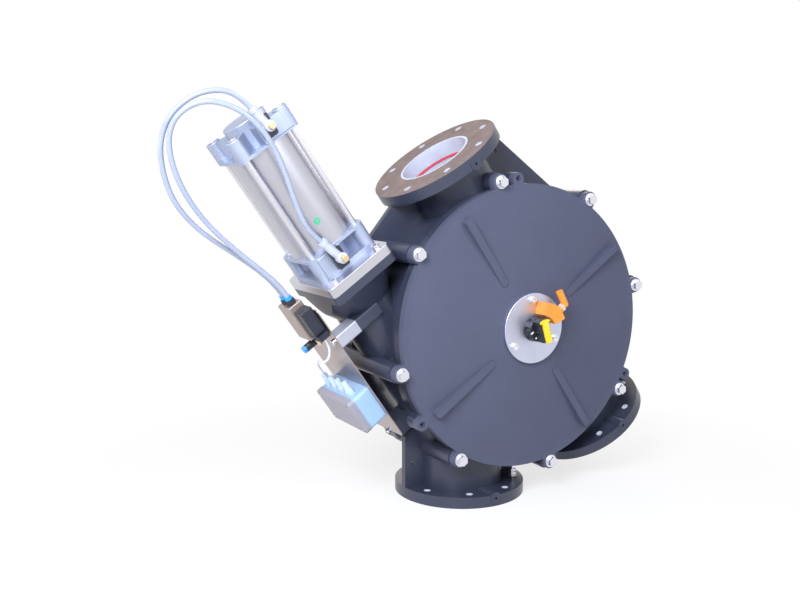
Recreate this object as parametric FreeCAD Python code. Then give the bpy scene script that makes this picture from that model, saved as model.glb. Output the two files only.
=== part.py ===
import FreeCAD, Part
import math
import os

V = FreeCAD.Vector

# Everything is modelled in the flow frame: X across the straight flow, Y along the drum's axis
# with the indicator side at -Y, Z up the straight flow, zero at the drum's centre.
# The finished pieces are turned so that the branch outlet points straight down.

# Flow path
bore = 150.0
branch_angle = 35.0
channel_web = 5.0
port_stand = 111.0

# Webs between the ports and the shell
web_half = 7.0
web_hole_r = 5.0
web_overlap = 2.0
web_drop = 22.0
web_tangent = 25.0
inlet_web_hole = (10.0, 50.0)
outlet_web_hole = (20.0, 52.0)
outlet_web_edge = 111.0
outlet_web_taper = 0.75
outlet_web_inner = 1.6
web_root = 0.8

# Port flanges
flange_od = 285.0
flange_thickness = 24.0
flange_pcd = 240.0
flange_holes = 8
flange_hole = 14.0
tube_wall = 13.0
tube_draft = 5.0
plug_boss_r = 13.0
plug_boss_reach = 1.0
plug_boss_setback = 17.0
plug_r = 8.0
plug_length = 22.0
plug_socket = 6.0

# Drum and chamber
drum_r = 264.0
drum_half_length = 112.0
drum_end_gap = 4.0
drum_screw_depth = 20.0
shaft_screw_grip = 18.0
chamber_gap = 2.0
shell_wall = 19.0
ring_step = 15.0
ring_width = 20.0
drum_face_recess = 8.0
drum_face_rim = 16.0

# Cover fastening
boss_outset = 11.0
boss_r = 20.0
boss_angle = 23.25
boss_count = 8
jack_angle = 60.0
jack_count = 3
jack_boss_r = 13.0
jack_boss_length = 26.0
lobe_r = 17.0
cover_bolt_r = 6.0
cover_bolt_depth = 38.0
cover_bolt_flats = 19.0
cover_bolt_head = 7.5
washer_r = 14.0
washer_thickness = 3.0
spring_washer_r = 10.5
spring_washer_thickness = 2.5
jack_screw_r = 5.0
jack_recess_r = 6.5
jack_recess = 3.0
jack_socket = 5.0

# Covers
cover_rim = 16.0
cover_band = 12.0
cover_crown = 34.0
cover_wall = 14.0
hub_flat_r = 80.0
hub_boss_r = 66.0
rib_width = 16.0
rib_inner_r = 112.0
rib_end_inset = 19.0
rib_top = 33.0
cover_seal_inset = 16.0
cover_seal_width = 4.0
cover_seal_depth = 3.0

# Shafts, bearings and hub
shaft_r = 30.0
shaft_flange_r = 52.0
shaft_flange = 9.0
shaft_spigot = 18.0
shaft_screw_r = 4.0
shaft_screw_pcd_r = 42.0
shaft_screws = 6
bearing_od_r = 47.5
bearing_length = 20.0
bearing_shoulder = 22.0
seal_od_r = 42.0
seal_length = 8.0
stub_r = 12.0
stub_in_knob = 32.0
journal_setback = 2.0
hub_plate_r = 74.0
hub_plate = 8.0
hub_screw_pcd_r = 60.0
hub_screws = 3
hub_screw_r = 4.0
hub_screw_grip = 16.0
hub_head_r = 6.5
hub_head = 5.0
hub_washer_r = 9.0
hub_washer = 1.5

# Indicator
knob_r = 27.0
knob_skirt = 20.0
knob_grip = 20.0
knob_grip_width = 24.0
knob_flutes = 8
knob_draft = 1.8
pointer_width = 14.0
pointer_length = 50.0
pointer_height = 5.0
pointer_head = 6.0
pointer_head_width = 22.0
pointer_angle = 72.0
sensor_inner_r = 30.0
sensor_outer_r = 58.0
sensor_start = -14.0
sensor_sweep = 62.0
sensor_height = 34.0
sensor_nose_r = 9.0
sensor_nose_reach = 66.0
sensor_angle = 3.0
sensor_nut_flats = 17.0
sensor_nut = 6.0
sensor_lead_r = 7.5
sensor_lead_length = 32.0
sensor_lead_angle = 84.0

# Port liners and seals
liner_wall = 5.0
seal_wall = 13.0
seal_depth = 18.0
seal_gap = 0.4

# Drive through the side of the drum
drive_inset = 31.0
drive_half_angle = 17.5
pin_r = 14.0
pin_half_length = 40.0
pocket_half_width = 26.0
pocket_depth = 98.0
rod_r = 16.0
rod_inset = 5.0
yoke_half_width = 33.0
yoke_half_depth = 20.0
yoke_below_pin = 27.0
yoke_above_pin = 30.0
yoke_slot_clearance = 0.7
yoke_slot_end_gap = 0.5
yoke_drum_setback = 2.0
yoke_slot_start_gap = 1.2

# Drive neck
neck_r = 64.0
neck_bottom = -118.0
tunnel_r = 42.0
tunnel_bottom = -52.0
neck_flange_x = 155.0
neck_flange_y = 205.0
neck_flange = 18.0
neck_flange_top = 315.0
neck_flare_bottom = 235.0
neck_flare_r = 100.0

# Air cylinder
plate_thickness = 20.0
plate_screw_r = 5.0
plate_screw_x = 55.0
plate_screw_y = 88.0
plate_screw_head_r = 8.0
plate_screw_head = 9.0
cap_side = 140.0
cap_length = 57.0
cap_rim = 6.0
cap_foot = 12.0
cap_post_drop = 12.0
cap_web_half = 9.0
cap_web_drop = 3.0
cap_hub_r = 42.0
cap_hub_round = 3.0
cap_edge = 1.5
port_block_half = 17.0
port_block_reach = 3.0
port_block_root = 34.0
port_block_end = 4.0
barrel_r = 67.0
cylinder_bore = 125.0
barrel_length = 224.0
tie_rod_r = 6.0
tie_rod_pitch = 110.0
tie_nut_flats = 17.0
tie_nut = 9.0
piston_length = 45.0
piston_clearance = 0.08
piston_cushion = 5.0
piston_seal_width = 6.0
piston_seal_depth = 5.0
gland_r = 24.0
gland_length = 30.0
cap_port_r = 8.0
cap_port_depth = 26.0

# Flow controls
control_r = 11.0
control_length = 28.0
control_seat = 11.0
control_seat_half = V(13, 0, 22)
control_knob_r = 6.5
control_knob = 10.0
control_arm_r = 8.5
control_y = -88.0
upper_port = V(6, 0, 34)
lower_port = V(-17, 0, 33)
upper_arm = V(-9, 0, 44)
lower_arm = V(-15, 0, 50)

# Side bracket
sheet_offset = 110.0
sheet_thickness = 2.0
sheet_low = -26.0
sheet_high = 310.0
sheet_front = -70.0
sheet_back = 110.0
sheet_corner_r = 8.0
standoff_z = 227.0
standoff_y = -50.0
standoff_length = 28.0
standoff_width = 40.0
lug_low = -52.0
lug_high = -14.0
lug_half_width = 22.0
bracket_screw_r = 4.0
bracket_head_r = 6.5
bracket_head = 5.0

# Junction box
box_low = 28.0
box_high = 108.0
box_front = -58.0
box_back = 92.0
box_depth = 40.0
lid_depth = 15.0
box_wall = 4.0
box_corner_r = 8.0
box_screw_r = 3.5
gland_count = 4
gland_first_y = 64.0
gland_pitch = -31.5
gland_setback = 27.0
gland_body_r = 8.0
gland_body = 10.0
gland_nut_r = 7.5
gland_nut = 20.0

# Solenoid valve
valve_low = 250.0
valve_high = 332.0
valve_front = -26.0
valve_back = 30.0
valve_depth = 32.0
coil_low = 262.0
coil_high = 320.0
coil_front = -58.0
coil_depth = 27.0
connector_low = 250.0
connector_length = 26.0
connector_front = -62.0
connector_width = 28.0
connector_depth = 24.0
push_in_offset = 16.0
push_in_r = 8.5
push_in_body = 11.0
push_in_collet_r = 7.5
push_in_collet = 7.0
push_in_back_y = 10.0
push_in_front_y = -14.0
elbow_y = 2.0
elbow_r = 8.0
elbow_drop = 16.0
elbow_reach = 26.0
silencer_r = 6.0
silencer_length = 22.0
silencer_pitch = 36.0

# Hoses and cable
hose_d = 10.0
cable_d = 5.0
arc_share = 0.45
upper_hose_route = [
    V(-231, -88, 694), V(-235.5, -88, 716), V(-248, -87, 740), V(-270, -82, 757), V(-304, -72, 768),
    V(-352, -57, 762), V(-391, -42, 732), V(-415, -27, 684), V(-427, -13, 630), V(-421, -1, 572),
    V(-404, 5, 519), V(-383, 9, 468), V(-364, 10, 414), V(-356, 10, 374), V(-356, 10, 350)]
lower_hose_route = [
    V(-260, -88, 418), V(-267.5, -88, 443), V(-268, -92, 476), V(-259, -95, 520), V(-247, -98, 568),
    V(-240, -104, 614), V(-242, -108, 660), V(-255, -106, 704), V(-279, -98, 738), V(-304, -89, 754),
    V(-334, -78, 758), V(-362, -67, 748), V(-384, -55, 722), V(-400, -43, 678), V(-407, -28, 618),
    V(-400, -15, 548), V(-384, -12, 480), V(-365, -14, 414), V(-356, -14, 374), V(-356, -14, 350)]
cable_route = [
    V(-352, -48, 250), V(-352, -48, 234), V(-355, -42, 216), V(-361, -28, 199), V(-366, -8, 188),
    V(-369, 15, 183), V(-369, 37, 180), V(-368, 54, 170), V(-367, 64.5, 154), V(-367, 64.5, 138)]

# Fits
face_gap = 0.3
hole_gap = 0.5
close_gap = 0.05
running_gap = 0.06
thread_gap = 0.05

# Values that follow from the sizes above
bore_r = bore / 2
channel_offset = bore_r + channel_web
port_reach = drum_r + port_stand
flange_r = flange_od / 2
flange_back = port_reach - flange_thickness
chamber_r = drum_r + chamber_gap
chamber_half_length = drum_half_length + drum_end_gap
shell_r = chamber_r + shell_wall
ring_r = shell_r + ring_step
boss_pcd_r = ring_r + boss_outset
rib_outer_r = ring_r - rib_end_inset
cover_seal_r = ring_r - cover_seal_inset
seal_r = bore_r + seal_wall
seal_back_r = drum_r + seal_depth
drive_r = drum_r - drive_inset
rod_offset = drive_r - rod_inset
pocket_floor = drum_r - pocket_depth
cover_seat = chamber_half_length
crown_y = cover_seat + cover_crown
hub_front = crown_y + hub_plate
stub_end = hub_front + stub_in_knob
cover_face = cover_seat + cover_rim
pin_x = -drive_r * math.cos(math.radians(drive_half_angle))
pin_z = -drive_r * math.sin(math.radians(drive_half_angle))
plate_top = neck_flange_top + plate_thickness
lower_cap_top = plate_top + cap_length
barrel_top = lower_cap_top + barrel_length
cylinder_top = barrel_top + cap_length
piston_bottom = lower_cap_top + piston_cushion
yoke_bottom = pin_z - yoke_below_pin
yoke_top = pin_z + yoke_above_pin
yoke_slot_outer = drive_r + yoke_slot_end_gap
yoke_slot_inner = -pin_x - yoke_slot_start_gap
sheet_x = -rod_offset - sheet_offset
sheet_outer_x = sheet_x - sheet_thickness
push_in_x = sheet_outer_x - push_in_offset
upper_port_x = -rod_offset + upper_port.x
upper_port_z = barrel_top + upper_port.z
lower_port_x = -rod_offset + lower_port.x
lower_port_z = plate_top + lower_port.z
liner_r = bore_r + liner_wall
along_y = V(0, 1, 0)
along_z = V(0, 0, 1)
home = FreeCAD.Placement(V(channel_offset, 0, port_reach), FreeCAD.Rotation(along_y, -branch_angle))


def turned(shape, degrees, about=along_y, centre=V(0, 0, 0)):
    copy = shape.copy()
    copy.rotate(centre, about, degrees)
    return copy


def bar(radius, start, end):
    run = end - start
    return Part.makeCylinder(radius, run.Length, start, run)


def cone_bar(start_r, end_r, start, end):
    run = end - start
    return Part.makeCone(start_r, end_r, run.Length, start, run)


def sleeve(outer_r, inner_r, start, end):
    return bar(outer_r, start, end).cut(bar(inner_r, start, end))


def block(low, high):
    return Part.makeBox(high.x - low.x, high.y - low.y, high.z - low.z, low)


def hex_bar(flats, start, end):
    run = end - start
    corner_r = flats / math.sqrt(3)
    turn = FreeCAD.Rotation(along_z, run)
    corners = [start + turn.multVec(V(corner_r * math.cos(a), corner_r * math.sin(a), 0))
               for a in (math.radians(60 * k) for k in range(7))]
    return Part.Face(Part.makePolygon(corners)).extrude(run)


def plate(points, low_y, high_y):
    """A flat plate in the XZ plane, from low_y to high_y."""
    corners = [V(x, low_y, z) for x, z in points + points[:1]]
    return Part.Face(Part.makePolygon(corners)).extrude(V(0, high_y - low_y, 0))


def polar(radius, degrees, y=0.0):
    """A point at a radius from the drum's axis, with the angle from +X towards +Z."""
    angle = math.radians(degrees)
    return V(radius * math.cos(angle), y, radius * math.sin(angle))


def spun(profile):
    """A solid of revolution about Y from (radius, y) points."""
    corners = [V(radius, y, 0) for radius, y in profile + profile[:1]]
    return Part.Face(Part.makePolygon(corners)).revolve(V(0, 0, 0), along_y, 360)


def joined(first, *others):
    return first.multiFuse(list(others)).removeSplitter()


def softened(shape, radius, wanted):
    """Fillets the edges that the wanted function picks."""
    edges = [edge for edge in shape.Edges if wanted(edge)]
    return shape.makeFillet(radius, edges)


def runs_along(axis):
    def test(edge):
        if not isinstance(edge.Curve, Part.Line):
            return False
        return abs(edge.Curve.Direction.dot(axis)) > 0.999
    return test


def save(node, *solids):
    shape = solids[0].copy() if len(solids) == 1 else Part.makeCompound([s.copy() for s in solids])
    shape.Placement = home.multiply(shape.Placement)
    shape.exportStep(f"parts/{node}.step")


def boss_angles():
    return [boss_angle + k * 360 / boss_count for k in range(boss_count)]


def jack_angles():
    return [jack_angle + k * 360 / jack_count for k in range(jack_count)]


# The three ports: a turn about Y from +Z, and the side to which the port stands off the centre
port_turns = {"inlet": (0.0, 1), "straight": (180.0, -1), "branch": (180.0 + branch_angle, 1)}


def placed_port(shape, port):
    return turned(shape, port_turns[port][0])


def port_outside(side):
    """Tube, flange and plug boss of one port, along +Z."""
    x = side * channel_offset
    tube_r = liner_r + tube_wall
    tube = cone_bar(tube_r + tube_draft, tube_r, V(x, 0, chamber_r / 2), V(x, 0, port_reach))
    flange = bar(flange_r, V(x, 0, flange_back), V(x, 0, port_reach))
    boss_z = port_reach - plug_boss_setback
    boss = bar(plug_boss_r, V(x, -flange_r - plug_boss_reach, boss_z), V(x, 0, boss_z))
    return joined(tube, flange, boss)


def port_inside(side):
    """What is cut away for one port: bore, seal pocket, bolt holes and plug hole."""
    x = side * channel_offset
    cuts = [bar(liner_r + close_gap, V(x, 0, 0), V(x, 0, port_reach + 1)),
            bar(seal_r + close_gap, V(x, 0, 0), V(x, 0, seal_z()))]
    for k in range(flange_holes):
        angle = math.radians((k + 0.5) * 360 / flange_holes)
        hole = V(x + flange_pcd / 2 * math.cos(angle), flange_pcd / 2 * math.sin(angle), flange_back - 1)
        cuts.append(bar(flange_hole / 2, hole, hole + V(0, 0, flange_thickness + 2)))
    mouth = V(x, -flange_r - plug_boss_reach - 1, port_reach - plug_boss_setback)
    cuts.append(bar(plug_r + thread_gap, mouth, mouth + V(0, plug_length + 4, 0)))
    return cuts


def seal_z():
    """Where a seal's flat back stands along its port."""
    return seal_back_r


def inlet_webs():
    outer = channel_offset + flange_r
    inner = channel_offset - flange_r
    boss = polar(boss_pcd_r, boss_angle)
    side = math.radians(boss_angle + web_tangent)
    tangent = (boss.x + boss_r * math.cos(side), boss.z + boss_r * math.sin(side))
    top = flange_back + web_overlap
    right = plate([(outer, top), tangent, (boss.x, boss.z), (channel_offset, chamber_r),
                   (channel_offset, top)], -web_half, web_half)
    neck_edge = -rod_offset + neck_flange_x / 2
    left = plate([(inner, top), (neck_edge + web_half / 2, flange_back - web_drop),
                  (neck_edge + web_half / 2, neck_flange_top - neck_flange),
                  (neck_edge - neck_flange_x / 5, neck_flare_bottom),
                  (channel_offset, chamber_r), (channel_offset, top)], -web_half, web_half)
    inset, drop = inlet_web_hole
    return [right, left], [web_hole(outer - inset, flange_back - drop)]


def web_hole(x, z):
    return bar(web_hole_r, V(x, -web_half - 1, z), V(x, web_half + 1, z))


def outlet_webs(side):
    """The two webs of an outlet, in its port's own direction."""
    outer = side * (channel_offset + flange_r)
    inner = side * (channel_offset - flange_r)
    x = side * channel_offset
    top = flange_back + web_overlap
    root = (x, web_root * chamber_r)
    shoulder = flange_back - outlet_web_edge
    wide = plate([(outer, top), (outer, shoulder), (outlet_web_taper * outer, outlet_web_taper * shoulder),
                  root, (x, top)], -web_half, web_half)
    narrow = plate([(inner, top), (outlet_web_inner * inner, shell_r - web_half), root, (x, top)],
                   -web_half, web_half)
    inset, drop = outlet_web_hole
    return [wide, narrow], [web_hole(outer - side * inset, flange_back - drop)]


def neck_outside():
    axis_low = V(-rod_offset, 0, neck_bottom)
    tube = bar(neck_r, axis_low, V(-rod_offset, 0, neck_flange_top))
    flare = cone_bar(neck_r, neck_flare_r, V(-rod_offset, 0, neck_flare_bottom),
                     V(-rod_offset, 0, neck_flange_top - neck_flange))
    half = V(neck_flange_x / 2, neck_flange_y / 2, 0)
    low = V(-rod_offset, 0, neck_flare_bottom - 1) - half
    high = V(-rod_offset, 0, neck_flange_top) + half
    flare = flare.common(block(low, high))
    flange = block(V(low.x, low.y, neck_flange_top - neck_flange), high)
    flange = softened(flange, 12, runs_along(along_z))
    return joined(tube, flare, flange)


def housing_body():
    y = chamber_half_length
    shell = bar(shell_r, V(0, -y, 0), V(0, y, 0))
    rings = [bar(ring_r, V(0, -y, 0), V(0, -y + ring_width, 0)),
             bar(ring_r, V(0, y - ring_width, 0), V(0, y, 0))]
    bosses = []
    for angle in boss_angles():
        bosses.append(bar(boss_r, polar(boss_pcd_r, angle, -y), polar(boss_pcd_r, angle, y)))
        web = block(V(shell_r - 8, -y, -web_half), V(boss_pcd_r, y, web_half))
        bosses.append(turned(web, -angle))
    for angle in jack_angles():
        ear = bar(jack_boss_r, polar(boss_pcd_r, angle, -y), polar(boss_pcd_r, angle, -y + jack_boss_length))
        ear_web = block(V(shell_r - 8, -y, -jack_boss_r), V(boss_pcd_r, -y + jack_boss_length, jack_boss_r))
        bosses += [ear, turned(ear_web, -angle)]
    outside = [neck_outside()]
    cuts = [bar(chamber_r, V(0, -y - 1, 0), V(0, y + 1, 0))]
    webs, holes = inlet_webs()
    outside += webs
    cuts += holes
    for port, (turn, side) in port_turns.items():
        outside.append(placed_port(port_outside(side), port))
        cuts += [placed_port(cut, port) for cut in port_inside(side)]
        if port != "inlet":
            webs, holes = outlet_webs(side)
            outside += [placed_port(web, port) for web in webs]
            cuts += [placed_port(hole, port) for hole in holes]
    lug = block(V(sheet_x, -lug_half_width, lug_low), V(-shell_r + 10, lug_half_width, lug_high))
    outside.append(lug)
    cuts.append(bar(tunnel_r, V(-rod_offset, 0, tunnel_bottom),
                    V(-rod_offset, 0, neck_flange_top + 1)))
    for angle in boss_angles():
        for end in (-1, 1):
            mouth = polar(boss_pcd_r, angle, end * (y + 1))
            cuts.append(bar(cover_bolt_r + thread_gap, mouth, mouth - V(0, end * cover_bolt_depth, 0)))
    for end in (-1, 1):
        groove = sleeve(cover_seal_r, cover_seal_r - cover_seal_width, V(0, end * (y + 1), 0),
                        V(0, end * (y - cover_seal_depth), 0))
        cuts.append(groove)
    for x in (-1, 1):
        for side in (-1, 1):
            mouth = V(-rod_offset + x * plate_screw_x, side * plate_screw_y, neck_flange_top + 1)
            cuts.append(bar(plate_screw_r + thread_gap, mouth, mouth - V(0, 0, neck_flange + 6)))
    body = joined(shell, *rings, *bosses, *outside)
    body = body.cut(Part.makeCompound([cut for cut in cuts[1:]])).cut(cuts[0])
    lug_screw = V(sheet_x - 1, 0, (lug_low + lug_high) / 2)
    return body.cut(bar(bracket_screw_r + thread_gap, lug_screw, lug_screw + V(22, 0, 0)))


def cover_blank(band_r):
    """The cover's turned form on the -Y side: rim band, crown, hub boss and bearing seat."""
    seat = -cover_seat
    return spun([(0, seat - cover_crown), (hub_flat_r, seat - cover_crown),
                 (band_r - cover_band, seat - cover_rim), (band_r, seat - cover_rim), (band_r, seat),
                 (chamber_r - 8, seat), (hub_boss_r + 14, seat - cover_crown + cover_wall),
                 (hub_boss_r, seat - cover_crown + cover_wall), (hub_boss_r, seat), (0, seat)])


def cover_rib(angle):
    reach = rib_outer_r - rib_width / 2
    low = -cover_seat - cover_rim + 4
    top = -cover_seat - rib_top
    start = rib_inner_r + rib_width / 2
    rib = block(V(start, top, -rib_width / 2), V(reach, low, rib_width / 2))
    ends = [bar(rib_width / 2, V(x, top, 0), V(x, low, 0)) for x in (start, reach)]
    return turned(joined(rib, *ends), -angle)


def cover():
    """The indicator side's cover; the other side's is its mirror image."""
    seat = -cover_seat
    lobes = []
    for angle in boss_angles():
        lobes.append(bar(lobe_r, polar(boss_pcd_r, angle, seat - cover_rim), polar(boss_pcd_r, angle, seat)))
        arm = block(V(ring_r - 14, seat - cover_rim, -lobe_r), V(boss_pcd_r, seat, lobe_r))
        lobes.append(turned(arm, -angle))
    for angle in jack_angles():
        lobes.append(bar(jack_boss_r, polar(boss_pcd_r, angle, seat - cover_rim),
                         polar(boss_pcd_r, angle, seat)))
        arm = block(V(ring_r - 14, seat - cover_rim, -jack_boss_r), V(boss_pcd_r, seat, jack_boss_r))
        lobes.append(turned(arm, -angle))
    ribs = [cover_rib(angle) for angle in (0, 90, 180, 270)]
    solid = joined(cover_blank(ring_r), *lobes, *ribs)
    bearing_seat = bar(bearing_od_r + close_gap, V(0, seat + 1, 0), V(0, seat - bearing_shoulder, 0))
    seal_seat = bar(seal_od_r + close_gap, V(0, seat, 0), V(0, -crown_y - 1, 0))
    cuts = []
    for angle in boss_angles():
        hole = polar(boss_pcd_r, angle, seat + 1)
        cuts.append(bar(cover_bolt_r + hole_gap, hole, hole - V(0, cover_rim + 2, 0)))
    for angle in jack_angles():
        hole = polar(boss_pcd_r, angle, seat + 1)
        cuts.append(bar(jack_screw_r + thread_gap, hole, hole - V(0, cover_rim + 2, 0)))
        mouth = polar(boss_pcd_r, angle, -cover_face - 1)
        cuts.append(bar(jack_recess_r, mouth, mouth + V(0, jack_recess + 1, 0)))
    for angle in hub_screw_angles():
        hole = polar(hub_screw_pcd_r, angle, -crown_y - 1)
        cuts.append(bar(hub_screw_r + thread_gap, hole, hole + V(0, 20, 0)))
    return solid.cut(bearing_seat).cut(seal_seat).cut(Part.makeCompound(cuts))


def mirrored(shape):
    """The same piece on the other side of the drum."""
    return shape.mirror(V(0, 0, 0), along_y)


def both_sides(solids):
    return list(solids) + [mirrored(solid) for solid in solids]


def hub_screw_angles():
    return [jack_angle + k * 360 / hub_screws for k in range(hub_screws)]


def hex_screw(mouth, depth, radius, flats, head, washers):
    """A hexagon screw going in along +Y at mouth, with its washers as (radius, thickness) pairs."""
    y = 0.0
    solids = []
    for washer_radius, thickness in washers:
        low = mouth - V(0, y + thickness, 0)
        solids.append(sleeve(washer_radius, radius + close_gap, low, mouth - V(0, y, 0)))
        y += thickness
    under = mouth - V(0, y, 0)
    top = under - V(0, head, 0)
    shank = bar(radius, under, mouth + V(0, depth, 0))
    crown = hex_bar(flats, under, top).common(cone_bar(flats, flats * 0.5, under, top - V(0, head, 0)))
    solids.append(shank.fuse(crown))
    return solids


def socket_screw(mouth, direction, depth, radius, head_r, head, socket_flats):
    """A socket head screw: direction points into the work."""
    top = mouth - direction * head
    body = bar(radius, mouth, mouth + direction * depth).fuse(bar(head_r, top, mouth))
    return body.cut(hex_bar(socket_flats, top, top + direction * head * 0.6))


def cover_bolts():
    solids = []
    washers = [(washer_r, washer_thickness), (spring_washer_r, spring_washer_thickness)]
    for angle in boss_angles():
        mouth = polar(boss_pcd_r, angle, -cover_face)
        solids += hex_screw(mouth, cover_rim + cover_bolt_depth - 4, cover_bolt_r, cover_bolt_flats,
                            cover_bolt_head, washers)
    return solids


def jacking_screws():
    """Socket set screws, a little below the faces of the ears."""
    screws = []
    for angle in jack_angles():
        top = polar(boss_pcd_r, angle, -cover_face + jack_recess)
        screw = bar(jack_screw_r, top, polar(boss_pcd_r, angle, -cover_seat - face_gap))
        screws.append(screw.cut(hex_bar(jack_socket, top, top + V(0, jack_socket, 0))))
    return screws


def port_liner(side):
    x = side * channel_offset
    return sleeve(liner_r, bore_r, V(x, 0, seal_z()), V(x, 0, port_reach))


def port_seal(side):
    """A ring whose inner end follows the drum's surface."""
    x = side * channel_offset
    ring = sleeve(seal_r, bore_r, V(x, 0, 0), V(x, 0, seal_z()))
    near = drum_r + seal_gap
    return ring.cut(bar(near, V(0, -seal_r - 1, 0), V(0, seal_r + 1, 0)))


def port_plug(side):
    mouth = V(side * channel_offset, -flange_r - plug_boss_reach - 0.5, port_reach - plug_boss_setback)
    plug = bar(plug_r, mouth, mouth + V(0, plug_length, 0))
    return plug.cut(hex_bar(plug_socket, mouth, mouth + V(0, 5, 0)))


def drum():
    """The turning drum: two parallel channels, end recesses and the drive pocket."""
    length = drum_half_length
    solid = bar(drum_r, V(0, -length, 0), V(0, length, 0))
    solid = softened(solid, 1.5, lambda edge: edge.Length > drum_r)
    reach = V(0, 0, drum_r + 2)
    channels = [bar(bore_r, V(x, 0, 0) - reach, V(x, 0, 0) + reach)
                for x in (-channel_offset, channel_offset)]
    pocket = block(V(-drum_r - 2, -pocket_half_width, -drum_r), V(-pocket_floor, pocket_half_width, drum_r))
    pin_hole = bar(pin_r + close_gap, V(pin_x, -pin_half_length, pin_z), V(pin_x, pin_half_length, pin_z))
    cuts = channels + [pocket, pin_hole]
    for end in (-1, 1):
        face = end * length
        recess = sleeve(drum_r - drum_face_rim, shaft_flange_r + drum_face_rim, V(0, face, 0),
                        V(0, face - end * drum_face_recess, 0))
        seat = bar(shaft_flange_r + face_gap, V(0, face, 0), V(0, face - end * shaft_flange, 0))
        spigot = bar(shaft_r + close_gap, V(0, face, 0),
                     V(0, face - end * (shaft_flange + shaft_spigot), 0))
        cuts += [recess, seat, spigot]
        for k in range(shaft_screws):
            hole = polar(shaft_screw_pcd_r, k * 360 / shaft_screws, face - end * shaft_flange)
            cuts.append(bar(shaft_screw_r + thread_gap, hole, hole - V(0, end * drum_screw_depth, 0)))
    for cut in cuts:
        solid = solid.cut(cut)
    return solid


def drum_shaft(outer_end):
    """The -Y stub shaft: flange in the drum, bearing journal and, at the front, a drive stub."""
    face = -drum_half_length
    journal_end = -crown_y + journal_setback if outer_end else -cover_seat - bearing_shoulder
    solid = bar(shaft_r, V(0, face + shaft_flange + shaft_spigot, 0), V(0, journal_end, 0))
    solid = solid.fuse(bar(shaft_flange_r, V(0, face, 0), V(0, face + shaft_flange, 0)))
    if outer_end:
        solid = solid.fuse(bar(stub_r, V(0, journal_end, 0), V(0, -outer_end, 0)))
    holes = []
    for k in range(shaft_screws):
        hole = polar(shaft_screw_pcd_r, k * 360 / shaft_screws, face)
        holes.append(bar(shaft_screw_r + close_gap, hole, hole + V(0, shaft_flange, 0)))
    return solid.cut(Part.makeCompound(holes))


def shaft_screw_set():
    """Headless screws flush in a shaft's flange."""
    faces = [polar(shaft_screw_pcd_r, k * 360 / shaft_screws, -drum_half_length)
             for k in range(shaft_screws)]
    return [bar(shaft_screw_r, face, face + V(0, shaft_flange + shaft_screw_grip, 0)) for face in faces]


def bearing():
    """A plain bearing bush in the cover's seat."""
    outer = -cover_seat - bearing_shoulder
    return sleeve(bearing_od_r, shaft_r + running_gap, V(0, outer, 0), V(0, outer + bearing_length, 0))


def shaft_seal():
    outer = -crown_y
    return sleeve(seal_od_r, shaft_r + face_gap, V(0, outer, 0), V(0, outer + seal_length, 0))


def hub_disc(centre_hole_r):
    disc = bar(hub_plate_r, V(0, -hub_front, 0), V(0, -crown_y, 0))
    disc = softened(disc, 1.2, lambda edge: edge.BoundBox.YMax < -hub_front + 0.01)
    cuts = [bar(centre_hole_r, V(0, -hub_front - 1, 0), V(0, -crown_y + 1, 0))] if centre_hole_r else []
    for angle in hub_screw_angles():
        hole = polar(hub_screw_pcd_r, angle, -hub_front - 1)
        cuts.append(bar(hub_screw_r + close_gap, hole, hole + V(0, hub_plate + 2, 0)))
    return disc.cut(Part.makeCompound(cuts))


def hub_screws_and_washers():
    solids = []
    for angle in hub_screw_angles():
        face = polar(hub_screw_pcd_r, angle, -hub_front)
        seat = face - V(0, hub_washer, 0)
        solids.append(sleeve(hub_washer_r, hub_screw_r + close_gap, seat, face))
        solids.append(socket_screw(seat, along_y, hub_plate + hub_screw_grip, hub_screw_r, hub_head_r,
                                   hub_head, 5))
    return solids


def indicator_knob():
    """Round skirt with finger flutes and a raised grip across it, on the drum's stub shaft."""
    back = -hub_front - face_gap
    skirt_front = back - knob_skirt
    skirt = cone_bar(knob_r - knob_draft, knob_r, V(0, skirt_front, 0), V(0, back, 0))
    skirt = softened(skirt, 2.5, lambda edge: edge.BoundBox.YMax < skirt_front + 0.01)
    grip = block(V(-knob_r, skirt_front - knob_grip, -knob_grip_width / 2),
                 V(knob_r, skirt_front, knob_grip_width / 2))
    grip = grip.common(bar(knob_r - knob_draft, V(0, skirt_front - knob_grip, 0), V(0, skirt_front, 0)))
    grip = softened(grip, 2.0, lambda edge: edge.BoundBox.YMax < skirt_front - knob_grip + 0.01)
    knob = skirt.fuse(turned(grip, -pointer_angle))
    flutes = []
    for k in range(knob_flutes):
        centre = polar(knob_r + 2.5, pointer_angle + (k + 0.5) * 360 / knob_flutes, skirt_front - 1)
        flutes.append(bar(5.0, centre, centre + V(0, knob_skirt - 4, 0)))
    bore_hole = bar(stub_r + close_gap, V(0, back + 1, 0), V(0, -stub_end - face_gap, 0))
    return knob.cut(Part.makeCompound(flutes)).cut(bore_hole)


def indicator_pointer():
    face = -hub_front - face_gap - knob_skirt - knob_grip
    stem = block(V(-knob_r, face - pointer_height, -pointer_width / 2),
                 V(knob_r, face, pointer_width / 2))
    head = block(V(pointer_length / 2 - pointer_head, face - pointer_height, -pointer_head_width / 2),
                 V(knob_r, face, pointer_head_width / 2))
    pointer = joined(stem, head).common(bar(pointer_length / 2, V(0, face - pointer_height, 0),
                                            V(0, face, 0)))
    return turned(pointer, -pointer_angle)


def sector(outer_r, inner_r, start, sweep, low_y, high_y):
    """A ring sector about the drum's axis."""
    section = Part.Face(Part.makePolygon([V(inner_r, low_y, 0), V(outer_r, low_y, 0), V(outer_r, high_y, 0),
                                          V(inner_r, high_y, 0), V(inner_r, low_y, 0)]))
    return turned(section.revolve(V(0, 0, 0), along_y, -sweep), -start)


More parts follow.
